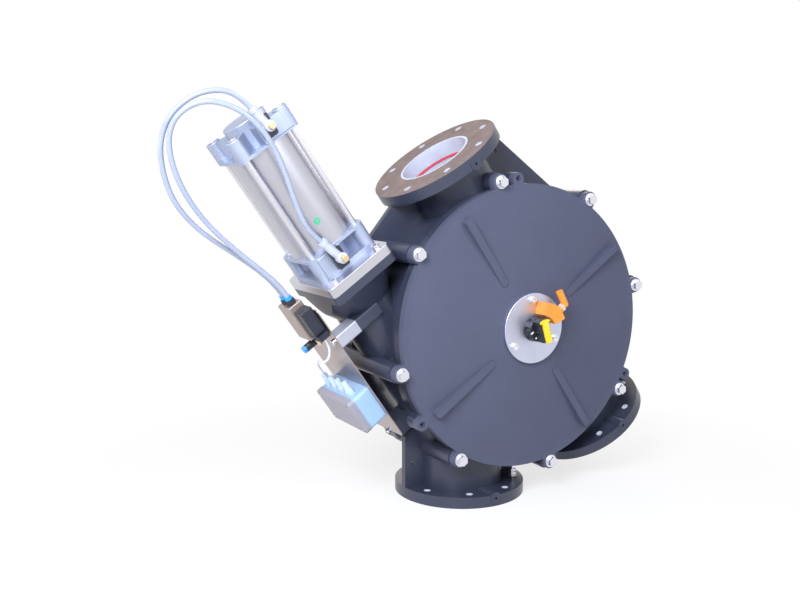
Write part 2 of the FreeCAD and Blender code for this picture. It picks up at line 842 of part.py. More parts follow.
def sensor_parts():
    """Position sensor beside the knob: body, clamping nut and angled plug."""
    face = -hub_front
    body = sector(sensor_outer_r, sensor_inner_r, sensor_start, sensor_sweep, face - sensor_height, face)
    body = softened(body, 3.0, runs_along(along_y))
    mid_y = face - sensor_height * 0.62
    nose_start = polar(sensor_outer_r - 6, sensor_angle, mid_y)
    nose_end = polar(sensor_nose_reach, sensor_angle, mid_y)
    nut_end = polar(sensor_nose_reach + sensor_nut, sensor_angle, mid_y)
    body = body.fuse(bar(sensor_nose_r, nose_start, nose_end))
    nut = hex_bar(sensor_nut_flats, nose_end, nut_end)
    lean = math.radians(sensor_lead_angle)
    lead_end = nut_end + V(math.cos(lean), 0, math.sin(lean)) * sensor_lead_length
    elbow = bar(sensor_lead_r - 1, nut_end, nut_end + polar(8, sensor_angle))
    joint = nut_end + polar(8, sensor_angle)
    lead = bar(sensor_lead_r, joint, joint + (lead_end - nut_end)).fuse(elbow)
    lead = lead.fuse(Part.makeSphere(sensor_lead_r, joint))
    return body, nut, lead


def piston_and_rod():
    """Piston with its seal groove, the seal, the rod and the yoke that drives the pin."""
    x = -rod_offset
    low = piston_bottom
    high = low + piston_length
    piston_r = cylinder_bore / 2 - piston_clearance
    piston = bar(piston_r, V(x, 0, low), V(x, 0, high))
    middle = (low + high) / 2
    groove_low = V(x, 0, middle - piston_seal_width / 2)
    groove_high = V(x, 0, middle + piston_seal_width / 2)
    groove = sleeve(piston_r + 1, piston_r - piston_seal_depth, groove_low, groove_high)
    piston = piston.cut(groove)
    ring = sleeve(piston_r, piston_r - piston_seal_depth, groove_low, groove_high)
    rod = bar(rod_r, V(x, 0, yoke_top), V(x, 0, low))
    yoke = block(V(x - yoke_half_width, -yoke_half_depth, yoke_bottom),
                 V(x + yoke_half_width, yoke_half_depth, yoke_top))
    yoke = softened(yoke, 6, runs_along(along_y))
    slot_half = pin_r + yoke_slot_clearance
    slot = [bar(slot_half, V(-side, -yoke_half_depth - 1, pin_z), V(-side, yoke_half_depth + 1, pin_z))
            for side in (yoke_slot_outer, yoke_slot_inner)]
    slot.append(block(V(-yoke_slot_outer, -yoke_half_depth - 1, pin_z - slot_half),
                      V(-yoke_slot_inner, yoke_half_depth + 1, pin_z + slot_half)))
    inside_drum = bar(drum_r - yoke_drum_setback, V(0, -yoke_half_depth, 0), V(0, yoke_half_depth, 0))
    yoke = yoke.cut(joined(*slot)).common(inside_drum)
    return piston, ring, rod, yoke


def cylinder_cap(low, high, post_top, slabs, port_x, port_z):
    """A cast end cap: tie rod posts at its corners, webbed to a round hub, with slabs and a port block."""
    x = -rod_offset
    half = cap_side / 2
    post_r = half - tie_rod_pitch / 2
    pieces = []
    for slab_low, slab_high in slabs:
        slab = block(V(x - half, -half, slab_low), V(x + half, half, slab_high))
        pieces.append(softened(slab, post_r, runs_along(along_z)))
    for rod_x, rod_y in tie_rod_places():
        post = bar(post_r, V(rod_x, rod_y, low), V(rod_x, rod_y, post_top))
        pieces.append(softened(post, cap_edge, lambda edge: edge.BoundBox.ZMin > post_top - 0.01))
    web = block(V(x, -cap_web_half, low), V(x + tie_rod_pitch / math.sqrt(2), cap_web_half,
                                            post_top - cap_web_drop))
    pieces += [turned(web, 45 + 90 * k, along_z, V(x, 0, 0)) for k in range(4)]
    hub = bar(cap_hub_r, V(x, 0, low), V(x, 0, high))
    if high > post_top:
        hub = softened(hub, cap_hub_round, lambda edge: edge.BoundBox.ZMin > high - 0.01)
    front = -half - port_block_reach
    corner_x = x + math.copysign(tie_rod_pitch / 2, port_x - x)
    block_xs = (min(port_x - port_block_half, corner_x), max(port_x + port_block_half, corner_x))
    port = block(V(block_xs[0], front, low + port_block_end),
                 V(block_xs[1], port_block_root - half, post_top - port_block_end))
    port = softened(port, cap_edge, lambda edge: edge.BoundBox.YMax < front + 0.01)
    hole = bar(cap_port_r, V(port_x, front - 1, port_z), V(port_x, front + cap_port_depth, port_z))
    return joined(*pieces, hub, port).cut(hole)


def tie_rod_places():
    half = tie_rod_pitch / 2
    return [(-rod_offset + sx * half, sy * half) for sx in (-1, 1) for sy in (-1, 1)]


def cylinder_parts():
    x = -rod_offset
    rims = [(lower_cap_top - cap_rim, lower_cap_top), (plate_top, plate_top + cap_foot)]
    lower = cylinder_cap(plate_top, lower_cap_top, lower_cap_top, rims, lower_port_x, lower_port_z)
    post_top = cylinder_top - cap_post_drop
    upper = cylinder_cap(barrel_top, cylinder_top, post_top, [(barrel_top, barrel_top + cap_rim)],
                         upper_port_x, upper_port_z)
    lower = lower.cut(bar(gland_r + close_gap, V(x, 0, plate_top - 1), V(x, 0, plate_top + gland_length)))
    lower = lower.cut(bar(rod_r + face_gap * 2, V(x, 0, plate_top), V(x, 0, lower_cap_top + 1)))
    gland = sleeve(gland_r, rod_r + running_gap, V(x, 0, plate_top), V(x, 0, plate_top + gland_length))
    barrel = sleeve(barrel_r, cylinder_bore / 2, V(x, 0, lower_cap_top), V(x, 0, barrel_top))
    rods = []
    nuts = []
    lower_holes = []
    upper_holes = []
    for rod_x, rod_y in tie_rod_places():
        low = V(rod_x, rod_y, lower_cap_top - 20)
        high = V(rod_x, rod_y, post_top)
        rods.append(bar(tie_rod_r, low, high))
        nuts.append(hex_bar(tie_nut_flats, high - V(0, 0, tie_nut), high + V(0, 0, 1))
                    .cut(bar(tie_rod_r + close_gap, low, high + V(0, 0, 2))))
        lower_holes.append(bar(tie_rod_r + close_gap, low - V(0, 0, 1), high))
        upper_holes.append(bar(tie_rod_r + close_gap, low, high + V(0, 0, 1)))
        upper_holes.append(bar(tie_nut_flats / math.sqrt(3) + 1, high - V(0, 0, tie_nut),
                               high + V(0, 0, 2)))
    lower = lower.cut(Part.makeCompound(lower_holes))
    for hole in upper_holes:
        upper = upper.cut(hole)
    return lower, upper, barrel, gland, rods, nuts


def adapter_plate():
    x = -rod_offset
    half_x = neck_flange_x / 2
    half_y = neck_flange_y / 2
    solid = block(V(x - half_x, -half_y, neck_flange_top), V(x + half_x, half_y, plate_top))
    solid = softened(solid, 12, runs_along(along_z))
    solid = softened(solid, 1.2, lambda edge: edge.BoundBox.ZMin > plate_top - 0.01)
    solid = solid.cut(bar(gland_r + 4, V(x, 0, neck_flange_top - 1), V(x, 0, plate_top + 1)))
    holes = []
    for sx in (-1, 1):
        for sy in (-1, 1):
            hole = V(x + sx * plate_screw_x, sy * plate_screw_y, neck_flange_top - 1)
            holes.append(bar(plate_screw_r + hole_gap, hole, hole + V(0, 0, plate_thickness + 2)))
    return solid.cut(Part.makeCompound(holes))


def adapter_screws():
    solids = []
    for sx in (-1, 1):
        for sy in (-1, 1):
            seat = V(-rod_offset + sx * plate_screw_x, sy * plate_screw_y, plate_top)
            solids.append(socket_screw(seat, V(0, 0, -1), plate_thickness + 20, plate_screw_r,
                                       plate_screw_head_r, plate_screw_head, 8))
    return solids


def flow_control(port_x, port_z, arm):
    """An angled flow control: stem in the cap, ring, hose arm, and its brass throttle screw."""
    front = -cap_side / 2 - port_block_reach
    hole_end = front + cap_port_depth - 8
    stem = bar(cap_port_r - close_gap, V(port_x, front, port_z), V(port_x, hole_end, port_z))
    middle = V(port_x, front - control_seat / 2, port_z)
    half = control_seat_half + V(0, control_seat / 2, 0)
    seat = softened(block(middle - half, middle + half), control_seat_half.x / 3, runs_along(along_y))
    ring_end = front - control_length
    ring = bar(control_r, V(port_x, front - control_seat, port_z), V(port_x, ring_end, port_z))
    ring = softened(ring, 2.0, lambda edge: edge.BoundBox.YMax < ring_end + 0.01)
    centre = V(port_x, control_y, port_z)
    mouth = centre + arm
    tube = bar(control_arm_r, centre, mouth)
    direction = V(arm).normalize()
    collar = bar(control_arm_r + 1.2, mouth - direction * 9, mouth - direction * 3)
    body = joined(stem, seat, ring, tube, collar)
    knob_hole = bar(control_knob_r - 2.5 + close_gap, V(port_x, ring_end, port_z),
                    V(port_x, ring_end + 8, port_z))
    body = body.cut(knob_hole)
    knob = bar(control_knob_r, V(port_x, ring_end - control_knob, port_z), V(port_x, ring_end, port_z))
    knob = softened(knob, 0.8, lambda edge: edge.BoundBox.YMax < ring_end - control_knob + 0.01)
    knob = knob.fuse(bar(control_knob_r - 2.5, V(port_x, ring_end, port_z), V(port_x, ring_end + 7, port_z)))
    return body, knob


def bracket_sheet():
    sheet = block(V(sheet_outer_x, sheet_front, sheet_low), V(sheet_x, sheet_back, sheet_high))
    sheet = softened(sheet, sheet_corner_r, runs_along(V(1, 0, 0)))
    holes = [bar(bracket_screw_r + close_gap, place, place + V(sheet_thickness + 4, 0, 0))
             for place in bracket_screw_places()]
    return sheet.cut(Part.makeCompound(holes))


def bracket_screw_places():
    x = sheet_outer_x - 2
    return [V(x, standoff_y, standoff_z), V(x, 0, (lug_low + lug_high) / 2)]


def bracket_standoff():
    half = V(0, standoff_width / 2, standoff_length / 2)
    centre = V(0, standoff_y, standoff_z)
    solid = block(centre - half + V(sheet_x, 0, 0), centre + half + V(-rod_offset, 0, 0))
    neck = bar(neck_r + close_gap, V(-rod_offset, 0, 0), V(-rod_offset, 0, neck_flange_top))
    neck = neck.fuse(cone_bar(neck_r + close_gap, neck_flare_r + close_gap,
                              V(-rod_offset, 0, neck_flare_bottom),
                              V(-rod_offset, 0, neck_flange_top - neck_flange)))
    solid = softened(solid, 3, runs_along(V(1, 0, 0)))
    solid = solid.cut(neck)
    hole = V(sheet_x - 1, standoff_y, standoff_z)
    return solid.cut(bar(bracket_screw_r + thread_gap, hole, hole + V(22, 0, 0)))


def bracket_screws():
    solids = []
    for place in bracket_screw_places():
        seat = V(sheet_outer_x, place.y, place.z)
        solids.append(socket_screw(seat, V(1, 0, 0), sheet_thickness + 16, bracket_screw_r,
                                   bracket_head_r, bracket_head, 5))
    return solids


def gland_places():
    x = sheet_outer_x - gland_setback
    return [V(x, gland_first_y + k * gland_pitch, box_high) for k in range(gland_count)]


def box_screw_places():
    x = sheet_outer_x - box_depth - lid_depth
    inset = box_corner_r + 1
    return [V(x, y, z) for y in (box_front + inset, box_back - inset)
            for z in (box_low + inset, box_high - inset)]


def junction_box():
    """A shallow cast box on the sheet, its lid, the lid's screws and the cable glands."""
    split = sheet_outer_x - box_depth
    base = block(V(split, box_front, box_low), V(sheet_outer_x, box_back, box_high))
    base = softened(base, box_corner_r, runs_along(V(1, 0, 0)))
    hollow = block(V(split - 1, box_front + box_wall, box_low + box_wall),
                   V(sheet_outer_x - box_wall, box_back - box_wall, box_high - box_wall))
    pillars = [bar(box_corner_r, V(split, p.y, p.z), V(sheet_outer_x, p.y, p.z))
               for p in box_screw_places()]
    base = base.cut(hollow).fuse(joined(*pillars).common(base))
    lid = block(V(split - lid_depth, box_front - 1, box_low - 1), V(split, box_back + 1, box_high + 1))
    lid = softened(lid, box_corner_r + 1, runs_along(V(1, 0, 0)))
    lid = softened(lid, 3.0, lambda edge: edge.BoundBox.XMax < split - lid_depth + 0.01)
    screws = []
    for place in box_screw_places():
        far = V(split + 12, place.y, place.z)
        lid = lid.cut(bar(box_screw_r + 2.6, place - V(1, 0, 0), place + V(4, 0, 0)))
        lid = lid.cut(bar(box_screw_r - 1 + close_gap, place, V(split + 1, place.y, place.z)))
        base = base.cut(bar(box_screw_r - 1 + thread_gap, V(split - 1, place.y, place.z), far))
        screws.append(bar(box_screw_r + 2, place + V(1, 0, 0), place + V(4, 0, 0))
                      .fuse(bar(box_screw_r - 1, place + V(4, 0, 0), far - V(1, 0, 0))))
    glands = []
    for place in gland_places():
        base = base.cut(bar(gland_body_r - 1 + thread_gap, place - V(0, 0, box_wall + 1),
                            place + V(0, 0, 1)))
        thread = bar(gland_body_r - 1, place - V(0, 0, box_wall), place)
        body = hex_bar(gland_body_r * 2, place, place + V(0, 0, gland_body))
        nut_top = place + V(0, 0, gland_body + gland_nut)
        nut = cone_bar(gland_nut_r, gland_nut_r - 1.5, place + V(0, 0, gland_body), nut_top)
        glands.append(joined(thread, body, nut))
    return base, lid, screws, glands


def solenoid_valve():
    """Valve block on the sheet with its coil and plug, hose fittings, elbow and silencers."""
    face = sheet_outer_x
    body = block(V(face - valve_depth, valve_front, valve_low), V(face, valve_back, valve_high))
    body = softened(body, 2.5, lambda edge: edge.Length > 20)
    coil = block(V(face - coil_depth, coil_front, coil_low), V(face, valve_front, coil_high))
    coil = softened(coil, 3, lambda edge: edge.Length > 20)
    plug = block(V(face - 2 - connector_depth, connector_front - connector_width + 24, connector_low),
                 V(face - 2, connector_front + connector_width, coil_low))
    plug = softened(plug, 2, runs_along(along_z))
    fittings = []
    for y in (push_in_back_y, push_in_front_y):
        seat = V(push_in_x, y, valve_high)
        top = seat + V(0, 0, push_in_body)
        fittings.append(hex_bar(push_in_r * 2, seat, top))
    collets = []
    for y in (push_in_back_y, push_in_front_y):
        seat = V(push_in_x, y, valve_high + push_in_body)
        collets.append(bar(push_in_collet_r, seat, seat + V(0, 0, push_in_collet)))
    corner = V(push_in_x, elbow_y, valve_low - elbow_drop)
    elbow = bar(elbow_r, V(push_in_x, elbow_y, valve_low), corner)
    elbow = elbow.fuse(Part.makeSphere(elbow_r, corner))
    elbow = elbow.fuse(bar(elbow_r, corner, corner - V(elbow_reach, 0, 0)))
    collets.append(bar(push_in_collet_r, corner - V(elbow_reach, 0, 0), corner - V(elbow_reach + 6, 0, 0)))
    silencers = []
    for side in (-1, 1):
        top = V(push_in_x, elbow_y + side * silencer_pitch / 2, valve_low)
        neck = bar(silencer_r - 2, top, top - V(0, 0, 6))
        cone = cone_bar(silencer_r, silencer_r - 2, top - V(0, 0, 6), top - V(0, 0, silencer_length))
        silencers.append(neck.fuse(cone))
    return body, coil, plug, fittings, collets, elbow, silencers


def cord_tube(name, route, diameter):
    """A tube along straight runs joined by tangent arcs, each as large as its runs allow."""
    edges = []
    radii = []
    at = route[0]
    for before, corner, after in zip(route, route[1:], route[2:]):
        into = V(corner - before).normalize()
        out = V(after - corner).normalize()
        turn = into.getAngle(out)
        setback = arc_share * min((corner - before).Length, (after - corner).Length)
        radius = setback / math.tan(turn / 2)
        radii.append(radius)
        start = corner - into * setback
        end = corner + out * setback
        toward = V(out - into).normalize()
        middle = corner + toward * (radius / math.cos(turn / 2) - radius)
        edges.append(Part.LineSegment(at, start).toShape())
        edges.append(Part.Arc(start, middle, end).toShape())
        at = end
    edges.append(Part.LineSegment(at, route[-1]).toShape())
    path = Part.Wire(edges)
    length = path.Length
    along = V(route[1] - route[0]).normalize()
    rim = Part.Wire([Part.Circle(route[0], along, diameter / 2).toShape()])
    tube = path.makePipeShell([rim], True, False)
    section = math.pi * diameter ** 2 / 4
    print(name, "length", round(length), "smallest radius", round(min(radii), 1),
          "volume over section x length", round(tube.Volume / (section * length), 4))
    return tube


def main():
    os.makedirs("parts", exist_ok=True)
    save("housing_body", housing_body())
    front = cover()
    save("front_cover", front)
    save("rear_cover", mirrored(front))
    ring = sleeve(cover_seal_r - face_gap / 2, cover_seal_r - cover_seal_width + face_gap / 2,
                  V(0, -cover_seat, 0), V(0, -cover_seat + cover_seal_depth, 0))
    save("cover_seals", *both_sides([ring]))
    save("cover_bolts", *both_sides(cover_bolts()))
    save("jacking_screws", *jacking_screws())
    plugs = []
    for port, (turn, side) in port_turns.items():
        save(f"{port}_liner", placed_port(port_liner(side), port))
        save(f"{port}_seal", placed_port(port_seal(side), port))
        plugs.append(placed_port(port_plug(side), port))
    save("port_plugs", *plugs)
    save("drum_bearings", *both_sides([bearing()]))
    save("front_shaft_seal", shaft_seal())
    save("hub_plate", hub_disc(stub_r + 1))
    save("rear_bearing_cap", mirrored(hub_disc(0)))
    save("hub_screws", *both_sides(hub_screws_and_washers()))
    save("drum", drum())
    save("front_shaft", drum_shaft(stub_end))
    save("rear_shaft", mirrored(drum_shaft(0)))
    save("shaft_screws", *both_sides(shaft_screw_set()))
    save("drive_pin", bar(pin_r, V(pin_x, -pin_half_length, pin_z), V(pin_x, pin_half_length, pin_z)))
    save("indicator_knob", indicator_knob())
    save("indicator_pointer", indicator_pointer())
    body, nut, lead = sensor_parts()
    save("sensor_body", body)
    save("sensor_nut", nut)
    save("sensor_plug", lead)
    piston, piston_ring, rod, yoke = piston_and_rod()
    save("piston", piston)
    save("piston_seal", piston_ring)
    save("piston_rod", rod)
    save("drive_yoke", yoke)
    lower, upper, barrel, gland, rods, nuts = cylinder_parts()
    save("cylinder_lower_cap", lower)
    save("cylinder_upper_cap", upper)
    save("cylinder_barrel", barrel)
    save("rod_gland", gland)
    save("tie_rods", *rods, *nuts)
    save("adapter_plate", adapter_plate())
    save("adapter_screws", *adapter_screws())
    upper_control, upper_knob = flow_control(upper_port_x, upper_port_z, upper_arm)
    lower_control, lower_knob = flow_control(lower_port_x, lower_port_z, lower_arm)
    save("upper_flow_control", upper_control)
    save("lower_flow_control", lower_control)
    save("upper_throttle_screw", upper_knob)
    save("lower_throttle_screw", lower_knob)
    save("bracket_sheet", bracket_sheet())
    save("bracket_standoff", bracket_standoff())
    save("bracket_screws", *bracket_screws())
    base, lid, screws, glands = junction_box()
    save("junction_box_base", base)
    save("junction_box_lid", lid)
    save("junction_box_screws", *screws)
    save("cable_glands", *glands)
    body, coil, plug, fittings, collets, elbow, silencers = solenoid_valve()
    save("valve_body", body)
    save("valve_coil", coil)
    save("coil_connector", plug)
    save("hose_fittings", *fittings)
    save("hose_collets", *collets)
    save("supply_elbow", elbow)
    save("silencers", *silencers)
    save("upper_air_hose", cord_tube("upper hose", upper_hose_route, hose_d))
    save("lower_air_hose", cord_tube("lower hose", lower_hose_route, hose_d))
    save("solenoid_cable", cord_tube("solenoid cable", cable_route, cable_d))


if __name__ == "__main__":
    main()
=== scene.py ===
import math

import bmesh
import bpy
from mathutils import Matrix, Vector


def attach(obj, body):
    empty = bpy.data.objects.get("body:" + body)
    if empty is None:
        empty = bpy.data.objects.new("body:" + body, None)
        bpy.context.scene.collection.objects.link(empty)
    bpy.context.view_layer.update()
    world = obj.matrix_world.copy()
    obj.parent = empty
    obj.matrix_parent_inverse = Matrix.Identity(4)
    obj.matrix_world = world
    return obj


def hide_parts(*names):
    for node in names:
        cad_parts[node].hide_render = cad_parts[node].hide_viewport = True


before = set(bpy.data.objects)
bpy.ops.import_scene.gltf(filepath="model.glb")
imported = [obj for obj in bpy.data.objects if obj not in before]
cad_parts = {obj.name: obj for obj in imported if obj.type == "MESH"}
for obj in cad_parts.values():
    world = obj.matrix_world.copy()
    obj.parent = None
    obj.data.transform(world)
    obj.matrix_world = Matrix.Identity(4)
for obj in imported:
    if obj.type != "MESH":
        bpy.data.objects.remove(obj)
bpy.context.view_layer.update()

bl_info = {
    "name": "Drum Diverter Valve",
    "version": (1, 0, 0),
    "blender": (4, 5, 0),
    "location": "View3D > Sidebar > Diverter",
    "description": "Finishes and soft parts of a pneumatic drum diverter valve",
    "category": "Object",
}

MM = 0.001

# The valve's own frame: X across the straight flow, Y along the drum's axis, Z up that flow. FLOW
# turns metres of it into the part's frame. Plain numbers below are millimetres of it.
BRANCH_ANGLE = math.radians(35)
DRUM_CENTRE = Vector((0.080, 0.0, 0.375))
FLOW = Matrix.Translation(DRUM_CENTRE) @ Matrix.Rotation(-BRANCH_ANGLE, 4, "Y")

# The ports: their offset from the drum's axis, their flanges and their bore
CHANNEL_OFFSET = 80.0
PORT_REACH = 375.0
FLANGE_THICKNESS = 24.0
FLANGE_R = 142.5
FLANGE_HOLES = 8
FLANGE_HOLE_R = 7.0
FLANGE_HOLE_PCD_R = 120.0
BORE_R = 75.0

# The soft edge of the machined faces and bolt holes in the enamel, and how far they reach past
MASK_STEP = 0.2
MASK_MARGIN = 0.3

# The cylinder's axis across the flow, and its barrel
ROD_OFFSET = 228.0
BARREL_R = 67.0

# Along the drum's axis: where the flow controls turn pale, and the face of the knob's skirt
CONTROL_RING = -84.2
CONTROL_STEP = 0.3
KNOB_SKIRT_FACE = -178.3

# Across the flow: where the bracket's spacer turns from bare metal to the casting's paint
STANDOFF_PAINT = -286.0
STANDOFF_STEP = 0.4

# The red ring in each liner's bore: how deep it starts, its length, how far it stands in and is let
# in, its chamfer and the steps of its turn
RING_DEPTH = 33.0
RING_LENGTH = 6.0
RING_PROUD = 0.9
RING_LET_IN = 0.4
RING_CHAMFER = 0.4
RING_STEPS = 96

# The two white marks on the knob's skirt: radius and angle about the drum's axis, and half sizes
KNOB_MARKS = [(20.5, math.radians(160), 3.6, 1.6), (19.5, math.radians(205), 1.8, 1.8)]
MARK_HEIGHT = 0.6
MARK_BEVEL = 0.2

# The green dot on the barrel: how its underside clears it, the film's thickness, the dot's height,
# its angle from the front, its sides, and its rings of faces with their share of its radius
DOT_GAP = 0.12
DOT_FILM = 0.25
DOT_HEIGHT = 447.0
DOT_ANGLE = math.radians(-7.2)
DOT_SIDES = 40
DOT_RINGS = 3
DOT_RING_SHARE = 0.24

# The earth stud's foot on the branch flange's back, in millimetres of the part's frame
STUD_PLACE = (98.0, -68.0, 24.0)
# The stud, its washers and its nuts: sides, radius over the thread's, low and high
STUD_PARTS = [(32, 1.0, 0.0, 33.0), (32, 2.3, 6.0, 7.6), (6, 1.88, 7.6, 14.0),
              (32, 2.3, 14.0, 15.6), (6, 1.88, 15.6, 22.0)]
STUD_BEVEL = 0.4

# Each port's turn about Y from the inlet's direction, and the side its channel stands to
PORT_TURNS = {"inlet": (0.0, 1), "straight": (math.pi, -1), "branch": (math.pi + BRANCH_ANGLE, 1)}

# Hose and cable routes, in millimetres of the valve's own frame
UPPER_HOSE_ROUTE = [
    (-231, -88, 694), (-235.5, -88, 716), (-248, -87, 740), (-270, -82, 757), (-304, -72, 768),
    (-352, -57, 762), (-391, -42, 732), (-415, -27, 684), (-427, -13, 630), (-421, -1, 572),
    (-404, 5, 519), (-383, 9, 468), (-364, 10, 414), (-356, 10, 374), (-356, 10, 350)]
LOWER_HOSE_ROUTE = [
    (-260, -88, 418), (-267.5, -88, 443), (-268, -92, 476), (-259, -95, 520), (-247, -98, 568),
    (-240, -104, 614), (-242, -108, 660), (-255, -106, 704), (-279, -98, 738), (-304, -89, 754),
    (-334, -78, 758), (-362, -67, 748), (-384, -55, 722), (-400, -43, 678), (-407, -28, 618),
    (-400, -15, 548), (-384, -12, 480), (-365, -14, 414), (-356, -14, 374), (-356, -14, 350)]
CABLE_ROUTE = [
    (-352, -48, 250), (-352, -48, 234), (-355, -42, 216), (-361, -28, 199), (-366, -8, 188),
    (-369, 15, 183), (-369, 37, 180), (-368, 54, 170), (-367, 64.5, 154), (-367, 64.5, 138)]

# How finely a cord is drawn along and round
CORD_STEPS = 10
CORD_ROUNDING = 6

# Edges flatter than this are shaded smooth
SMOOTH_ANGLE = math.radians(35)

# Colours that follow no setting: bolt holes painted near-white, bare metal with a painted
# highlight, inner pieces, rubber, fittings and the bracket
HOLE_BARE_AND_HIGHLIGHT = (0.88, 0.89, 0.95)
DRUM_GREY = (0.60, 0.61, 0.63)
SHAFT_GREY = (0.55, 0.55, 0.56)
ROD_CHROME = (0.62, 0.62, 0.64)
BRONZE = (0.60, 0.40, 0.20)
CORD_SEAL_BLACK = (0.02, 0.02, 0.022)
PISTON_RING_BLACK = (0.02, 0.02, 0.02)
MARK_WHITE = (0.82, 0.82, 0.84)
CONTROL_BLACK = (0.016, 0.018, 0.030)
CONTROL_PALE = (0.46, 0.49, 0.58)
FITTING_BLACK = (0.016, 0.017, 0.028)
COIL_BLACK = (0.014, 0.016, 0.030)
VALVE_GREY = (0.38, 0.31, 0.29)
# The bracket sheet's warm clouds are a painted reflection of warm surroundings
SHEET_WARM_REFLECTION = (0.42, 0.33, 0.31)
STANDOFF_PALE = (0.44, 0.45, 0.52)
GLAND_BLUE = (0.50, 0.62, 0.76)
CABLE_WHITE = (0.80, 0.82, 0.86)

# The floor in metres, its own light where the eye sees it, and where in millimetres it turns white
FLOOR_SIZE = 60.0
FLOOR_GREY = (0.90, 0.90, 0.90)
FLOOR_GLOW = 0.72
FLOOR_FADE_START = 300.0
FLOOR_FADE = 700.0
WHITE = (1.0, 1.0, 1.0)

# The world's light on the valve
WORLD_TINT = (0.92, 0.94, 1.0)
WORLD_STRENGTH = 0.34

# Each lamp: name, place in metres, watts, size in metres and colour
LAMPS = [
    ("key", (-1.35, -1.1, 1.4), 56.0, 0.9, (0.88, 0.92, 1.0)),
    ("front", (0.20, -1.60, 1.45), 12.0, 0.8, (0.82, 0.86, 1.0)),
    ("rim", (1.6, 2.2, 2.0), 22.0, 1.4, (1.0, 0.82, 0.70)),
    ("low", (-2.4, 0.9, 0.35), 10.0, 1.0, (1.0, 0.72, 0.56)),
]
LAMP_TARGET = Vector((0.0, 0.0, 0.42))

# The camera that fits the photograph: its solved place in metres, direction, lens and nearest and
# farthest view
CAMERA_PLACE = Vector((-1.1204, -1.6998, 0.6967))
CAMERA_LOOK = Vector((0.4908, 0.8609, -0.1342))
CAMERA_LENS = 42.33
CAMERA_SENSOR = 36.0
CAMERA_NEAR = 0.05
CAMERA_FAR = 200.0

# Sockets by their order: outputs of Light Path and Texture Coordinate, then the inputs and the
# output that a Mix node has for colours
CAMERA_RAY, GLOSSY_RAY, TRANSMISSION_RAY = 0, 3, 6
OBJECT_COORDINATES = 3
MIX_FACTOR, MIX_FIRST, MIX_SECOND = 0, 6, 7
MIX_RESULT = 2


def port_frame(port):
    """The frame of one port in metres: Z out of the port, zero level with the drum's axis."""
    turn, side = PORT_TURNS[port]
    offset = Matrix.Translation((side * CHANNEL_OFFSET * MM, 0, 0))
    return FLOW @ Matrix.Rotation(turn, 4, "Y") @ offset


def flow_point(place):
    """A place of the valve's own frame, in metres of the part's frame."""
    return FLOW @ (Vector(place) * MM)


class Value:
    """One output of a material's nodes; sums and products on it add Math nodes."""

    def __init__(self, finish, output):
        self.finish = finish
        self.output = output

    def maths(self, operation, *values, clamp=False):
        """A Math node on these values or numbers, in their order."""
        settings = {"operation": operation, "use_clamp": clamp}
        return self.finish.node("ShaderNodeMath", settings, *values)[0]

    def __add__(self, other):
        return self.maths("ADD", self, other)

    def __radd__(self, other):
        return self.maths("ADD", other, self)

    def __sub__(self, other):
        return self.maths("SUBTRACT", self, other)

    def __rsub__(self, other):
        return self.maths("SUBTRACT", other, self)

    def __mul__(self, other):
        return self.maths("MULTIPLY", self, other)

    def __rmul__(self, other):
        return self.maths("MULTIPLY", other, self)

    def __truediv__(self, other):
        return self.maths("DIVIDE", self, other)

    def __pow__(self, other):
        return self.maths("POWER", self, other)

    def above(self, edge, width):
        """Zero below edge, one above it, with a soft step of that width."""
        return self.maths("MULTIPLY_ADD", self, 1 / width, 0.5 - edge / width, clamp=True)

    def below(self, edge, width):
        """One below edge, zero above it, with the same soft step."""
        return self.maths("MULTIPLY_ADD", self, -1 / width, 0.5 + edge / width, clamp=True)

    def most(self, other):
        """The greater of two values."""
        return self.maths("MAXIMUM", self, other)

    def clamped(self):
        """Held between zero and one."""
        return self.maths("ADD", self, 0.0, clamp=True)


def seen_directly(light_path):
    """One for camera rays, glossy reflections and rays through clear pieces."""
    return light_path[CAMERA_RAY].most(light_path[GLOSSY_RAY]).most(light_path[TRANSMISSION_RAY])


